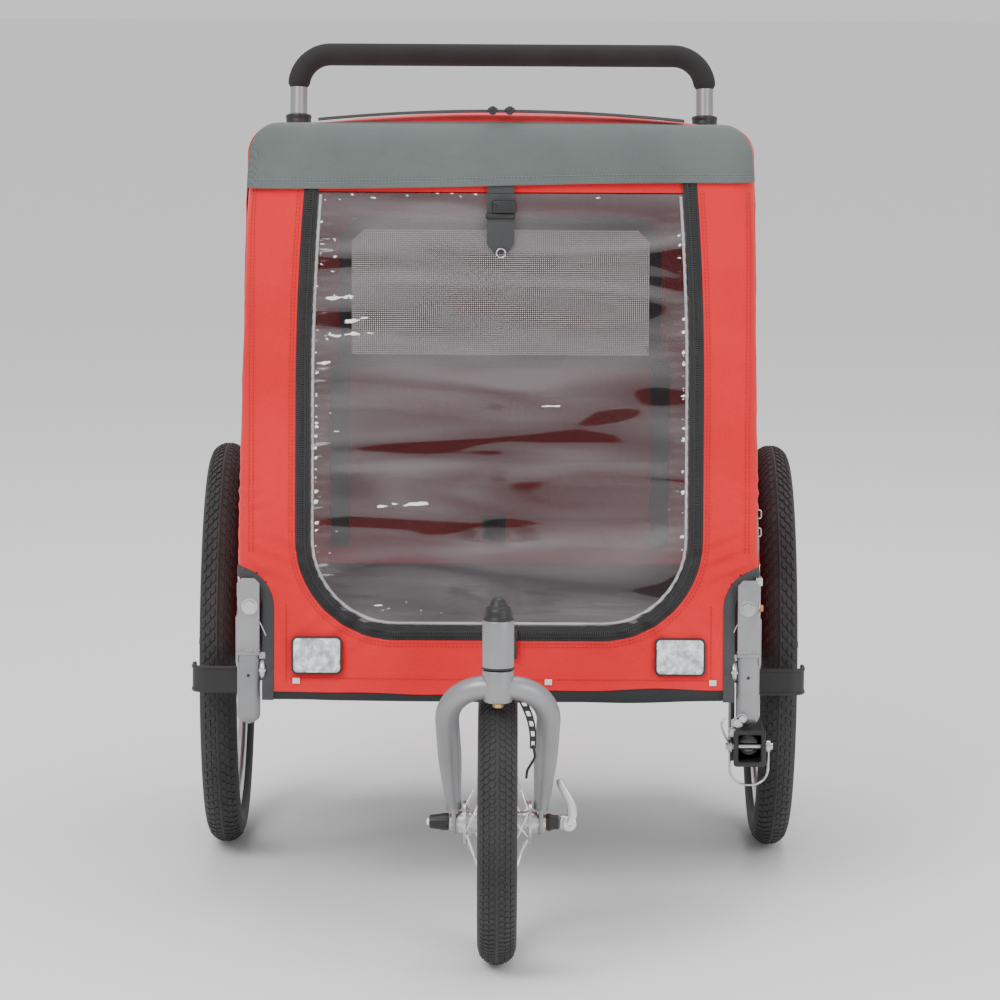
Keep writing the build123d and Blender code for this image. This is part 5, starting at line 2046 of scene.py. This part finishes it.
# front brackets: a bolted plate on a rounded leg, a weld, a slotted boss and a wire clip
def makeBracket(side, label):
    low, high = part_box("front_bracket_" + label)
    middle, face = (low.x + high.x) / 2, low.y
    pivot = hoop["pivotZ"]
    half = 0.0132
    outline = [
        (-half, 0.3), (half, 0.3), (half, pivot - 0.011), (half - 0.0022, pivot - 0.008),
        (half - 0.0022, pivot + 0.008),
        (half, pivot + 0.011), (half, high.z - 0.006), (half - 0.006, high.z), (-half + 0.006, high.z),
        (-half, high.z - 0.006),
    ]
    outline = [(middle + side * a, b) for a, b in outline]
    plate = shapedPlate(
        "bracketPlate", outline, 0.0042, 0.0009, lambda a, b, depth: Vector((a, face + 0.0032 - depth, b)),
    )
    wing = blockPiece(
        "bracketWing", (middle + side * half - 0.0016, face + 0.002, 0.29),
        (middle + side * half + 0.0016, face + 0.026, 0.345), 0.0008, 2,
    )
    rows = 26

    def leg(u, t):
        # rounded oblong section, narrowing to a rounded end
        z = 0.309 - (0.309 - low.z) * t
        end = math.sqrt(
            max(1 - smoothStep(z, low.z + 0.013, low.z - 0.0005) ** 2, 0.0)
        ) if z < low.z + 0.013 else 1.0
        end = max(end, 0.02)
        wide, deep = 0.0135 * end, 0.0125 * end
        turn = 2 * math.pi * u
        a, b = math.cos(turn), math.sin(turn)
        a, b = math.copysign(abs(a) ** 0.55, a), math.copysign(abs(b) ** 0.55, b)
        return Vector((middle + side * wide * a, face + 0.013 + deep * b, z))

    leg = gridPiece("bracketLeg", 36, rows, leg)
    cleanMesh(leg, 0.00002)
    capEnds(leg)
    weldPath = [
        Vector(
            (
                middle + side * (-0.013 + 0.026 * step / 20), face + 0.0002,
                0.3055 + 0.001 * math.sin(step * 1.9),
            )
        )
        for step in range(21)
    ]
    weld = taperTube(
        "bracketWeld", weldPath, [0.002 + 0.0005 * math.sin(step * 2.3) for step in range(21)], (0, 1, 0),
        12,
    )
    piece = joined("frontBracket" + label.capitalize(), [plate, wing, leg, weld])
    finishPiece(
        piece, "frontBracket" + label.capitalize(), "root", finish["silver"],
        ["front_bracket_" + label],
    )
    # dark disc for the bolt hole: painted shade of the hole's inside
    hole = turnedPiece(
        "bracketHole", [(-0.0006, 0.0), (-0.0006, 0.0018), (0.0008, 0.002), (0.0008, 0.0)],
        (middle, face + 0.0004, 0.276), "Y", 20,
    )
    finishPiece(hole, "bracketHole" + label.capitalize(), "root", finish["rubber"])
    x = middle - side * 0.0165
    boss = turnedPiece(
        "bracketBoss",
        [
            (-0.0034, 0.0), (-0.0034, 0.0095), (-0.0026, 0.0118), (-0.0012, 0.0128), (0.0012, 0.0128),
            (0.0026, 0.0118), (0.0034, 0.0095), (0.0034, 0.0),
        ],
        (x, face + 0.0075, 0.283), "X", 44,
    )
    slot = blockPiece(
        "bossSlot", (x - 0.004, face - 0.0052, 0.2815), (x + 0.004, face + 0.02, 0.2845), 0.0006, 2,
    )
    finishPiece(
        joined("bracketBoss", [boss, slot]), "bracketBoss" + label.capitalize(), "root",
        finish["satin"],
    )
    clip = [
        (x + side * 0.001, face + 0.006, 0.296), (x - side * 0.0035, face + 0.005, 0.306),
        (x - side * 0.0042, face + 0.005, 0.322), (x + side * 0.002, face + 0.004, 0.336),
        (x + side * 0.006, face + 0.003, 0.343),
    ]
    wire = tubePiece(
        "clipWire", evenPath(roundedPath([Vector(c) for c in clip], 0.006, 6), 0.0018), 0.001, (0, 1, 0),
        10,
    )
    finishPiece(
        wire, "clipWire" + label.capitalize(), "root", finish["steel"],
        ["bracket_latches"] if label == "left" else [],
    )
    pad = blockPiece(
        "clipPad", (x - 0.004, face + 0.001, 0.2955), (x + 0.0035, face + 0.011, 0.3035), 0.0014, 3,
    )
    finishPiece(pad, "clipPad" + label.capitalize(), "root", finish["palePlastic"])


for side, label in ((1, "left"), (-1, "right")):
    makeBracket(side, label)
lip = blockPiece("hingeLip", (0.2995, -0.264, 0.3845), (0.3075, -0.247, 0.3935), 0.0012, 2)
finishPiece(lip, "hingeLip", "root", finish["satin"])
dot = blockPiece("amberStop", (0.305, -0.2648, 0.3545), (0.3085, -0.259, 0.362), 0.001, 3)
finishPiece(dot, "amberStop", "root", finish["amber"])


# wheel guards: a flat bar with a rounded corner, ribbed along both edges
guardLow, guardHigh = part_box("wheel_guards")


def makeGuard(side):
    halfHigh = (guardHigh.z - guardLow.z) / 2
    z = (guardHigh.z + guardLow.z) / 2
    y = guardLow.y + 0.0025
    path = evenPath(
        roundedPath(
            [
                (side * 0.298, y, z), (side * (guardHigh.x - 0.0025), y, z),
                (side * (guardHigh.x - 0.0025), guardHigh.y, z),
            ],
            0.014, 12,
        ),
        0.0035,
    )
    section = [
        (-halfHigh, -0.001), (-halfHigh + 0.001, -0.0025), (halfHigh - 0.001, -0.0025), (halfHigh, -0.001),
        (halfHigh, 0.0015),
        (halfHigh - 0.0014, 0.0026), (halfHigh - 0.0034, 0.0026), (halfHigh - 0.0046, 0.0016),
        (-halfHigh + 0.0046, 0.0016),
        (-halfHigh + 0.0034, 0.0026), (-halfHigh + 0.0014, 0.0026), (-halfHigh, 0.0015),
        (-halfHigh, -0.001),
    ]

    def outward(point):
        if abs(point.x) < guardHigh.x - 0.0165:
            return Vector((0, -1, 0))
        if point.y > y + 0.0138:
            return Vector((side, 0, 0))
        corner = Vector((side * (guardHigh.x - 0.0165), y + 0.014, point.z))
        return (point - corner).normalized()

    obj = sweepPiece("guard", path, outward, section)
    cleanMesh(obj, 0.00002)
    capEnds(obj)
    return obj


guards = joined("wheelGuards", [makeGuard(1), makeGuard(-1)])
finishPiece(guards, "wheelGuards", "root", finish["plastic"], ["wheel_guards"], 30)


# tow-bar socket: a square tube with a lip, a round metal recess inside
def loftedBox(name, rings, steps=6):
    # rings are (middle, halfWide, halfHigh, radius), joined one to the next along Y
    outlines = [
        [Vector((m[0] + a, m[1], m[2] + b)) for a, b in roundedOutline(w, h, r, steps)]
        for m, w, h, r in rings
    ]
    count = len(outlines[0])

    def place(u, t):
        return outlines[round(t * (len(outlines) - 1))][round(u * count) % count]

    obj = gridPiece(name, count, len(outlines) - 1, place)
    cleanMesh(obj, 0.00001)
    return obj


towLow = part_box("tow_receiver")[0]
towX, towZ = 0.294, 0.195
towFront = towLow.y
tow = loftedBox("towSocket", [
    ((towX, towFront + 0.088, towZ), 0.016, 0.019, 0.003),
    ((towX, towFront + 0.089, towZ), 0.0175, 0.0205, 0.003),
    ((towX, towFront + 0.006, towZ), 0.0175, 0.0205, 0.003),
    ((towX, towFront + 0.0055, towZ), 0.0188, 0.0215, 0.0038),
    ((towX, towFront + 0.0012, towZ), 0.0188, 0.0215, 0.0038),
    ((towX, towFront, towZ), 0.0178, 0.0205, 0.0034),
    ((towX, towFront, towZ), 0.014, 0.0168, 0.0026),
    ((towX, towFront + 0.0012, towZ), 0.013, 0.0158, 0.0022),
    ((towX, towFront + 0.07, towZ), 0.0128, 0.0156, 0.0022),
    ((towX, towFront + 0.0702, towZ), 0.001, 0.001, 0.0005),
])
capEnds(tow)
hanger = blockPiece(
    "towHanger", (0.2725, towFront + 0.03, towZ - 0.02), (0.2772, towFront + 0.0885, 0.2648), 0.001, 2,
)
finishPiece(
    joined("towSocket", [tow, hanger]), "towSocket", "root", finish["rubber"],
    ["tow_receiver"], 35,
)
cup = turnedPiece(
    "towCup",
    [
        (0.012, 0.0), (0.012, 0.0085), (0.0112, 0.0098), (0.006, 0.0104), (0.0052, 0.0112), (0.0056, 0.012),
        (0.014, 0.0122), (0.014, 0.0),
    ],
    (towX, towFront + 0.02, towZ), "Y", 48,
)
finishPiece(cup, "towCup", "root", finish["steel"])
plugs = []
for x, z, r in ((0.279, 0.2235, 0.0055), (0.285, 0.229, 0.0042), (0.2745, 0.213, 0.0046)):
    plugs.append(
        turnedPiece(
            "towBolt",
            [
                (-0.005, 0.0), (-0.005, r * 0.85), (-0.0042, r), (0.0000, r), (0.0000, r * 1.35),
                (0.0012, r * 1.35), (0.0012, 0.0),
            ],
            (x, towFront + 0.012, z), "Y", 6 if r > 0.005 else 24,
        )
    )
lead = tubePiece(
    "towWireEnd",
    evenPath(
        roundedPath(
            [
                (0.27, towFront + 0.012, 0.199), (0.264, towFront + 0.008, 0.211),
                (0.26, towFront + 0.006, 0.223), (0.265, towFront + 0.008, 0.231),
            ],
            0.006, 5,
        ),
        0.002,
    ),
    0.0013, (0, 1, 0), 10,
)
plugs.append(lead)
finishPiece(joined("towBolts", plugs), "towBolts", "root", finish["steel"])

# the square sleeves' small hinge eyes on the body's side
eye = {"wallX": 0.3025, "outX": 0.3062, "y": -0.236, "half": 0.005}
eyes = []
for z in (0.4655, 0.4442):
    corners = [(eye["wallX"], eye["y"], z - eye["half"]), (eye["outX"], eye["y"], z - eye["half"])]
    corners += [(eye["outX"], eye["y"], z + eye["half"]), (eye["wallX"], eye["y"], z + eye["half"])]
    eyes.append(
        tubePiece("sideEye", evenPath(roundedPath(corners, 0.0022, 5), 0.0014), 0.0009, (0, 1, 0), 8)
    )
sideEyes = joined("sideEyes", eyes)
coverPiece(sideEyes, "sideEyes", finish["steel"])
print("frame done")

# the push handle: foam sleeve with soft ends, and the collars of the posts
handle = {
    "x": 0.273, "topY": 0.682, "topZ": 0.962, "footY": 0.555, "footZ": 0.268, "corner": 0.044,
    "foam": 0.015, "foamEnd": 0.918,
}


def handleY(z):
    return handle["footY"] + (z - handle["footZ"]) * (
        handle["topY"] - handle["footY"]
    ) / (handle["topZ"] - handle["footZ"])


ends = [
    (-handle["x"], handleY(handle["foamEnd"]), handle["foamEnd"]),
    (-handle["x"], handle["topY"], handle["topZ"]), (handle["x"], handle["topY"], handle["topZ"]),
    (handle["x"], handleY(handle["foamEnd"]), handle["foamEnd"]),
]
foamPath = evenPath(roundedPath(ends, handle["corner"] - 0.001, 18), 0.0045)
count = len(foamPath) - 1
radii = []
for index in range(count + 1):
    edge = min(index, count - index) * 0.0045
    roll = 0.78 + 0.22 * math.sqrt(min(edge / 0.008, 1.0) * (2 - min(edge / 0.008, 1.0)))
    radii.append(handle["foam"] * roll * (1 + 0.012 * noise.noise(foamPath[index] * 14)))
foam = taperTube("handleGrip", foamPath, radii, (0.0, 1.0, 0.2), 32)
finishPiece(foam, "handleGrip", "handle", finish["foam"], ["handle_grip"], 60)
collars = []
lean = Vector((0, handle["topY"] - handle["footY"], handle["topZ"] - handle["footZ"])).normalized()
for side in (1, -1):
    base = Vector((side * handle["x"], handleY(0.866), 0.866))
    ring = turnedPiece(
        "collar",
        [
            (0.0, 0.0118), (0.0, 0.0158), (0.001, 0.0172), (0.005, 0.0175), (0.006, 0.0168),
            (0.0105, 0.0168), (0.0118, 0.0175), (0.0148, 0.0172), (0.016, 0.015), (0.016, 0.0118),
            (0.0, 0.0118),
        ],
        (0, 0, 0), "Z", 44,
    )
    turn = lean.to_track_quat("Z", "Y").to_matrix()
    for vertex in ring.data.vertices:
        vertex.co = base + turn @ vertex.co
    collars.append(ring)
finishPiece(
    joined("postCollars", collars), "postCollars", "root", finish["rubber"],
    ["post_collars"], 35,
)
print("handle done")

# finishes for the machined and bent parts that are shown as they are
kept = {
    "silver": [
        "side_rails", "cross_tubes", "rear_brackets", "arm_socket", "front_arm", "axle_receivers",
        "handle_posts", "handlebar",
    ],
    "steel": ["pivot_bolts", "hitch_pin", "hitch_bail", "axle_left", "axle_right", "skewer"],
    "chrome": ["spokes_left", "spokes_right", "spokes_front"],
    "alloy": ["rim_left", "rim_right", "rim_front", "hub_left", "hub_right", "hub_front"],
    "plastic": ["release_button_left", "release_button_right"],
}
for key, names in kept.items():
    for name in names:
        node = bpy.data.objects[name]
        if not node.data.materials:
            node.data.materials.append(finish[key])
        for index in range(len(node.data.materials)):
            node.data.materials[index] = finish[key]
print("finishes given")
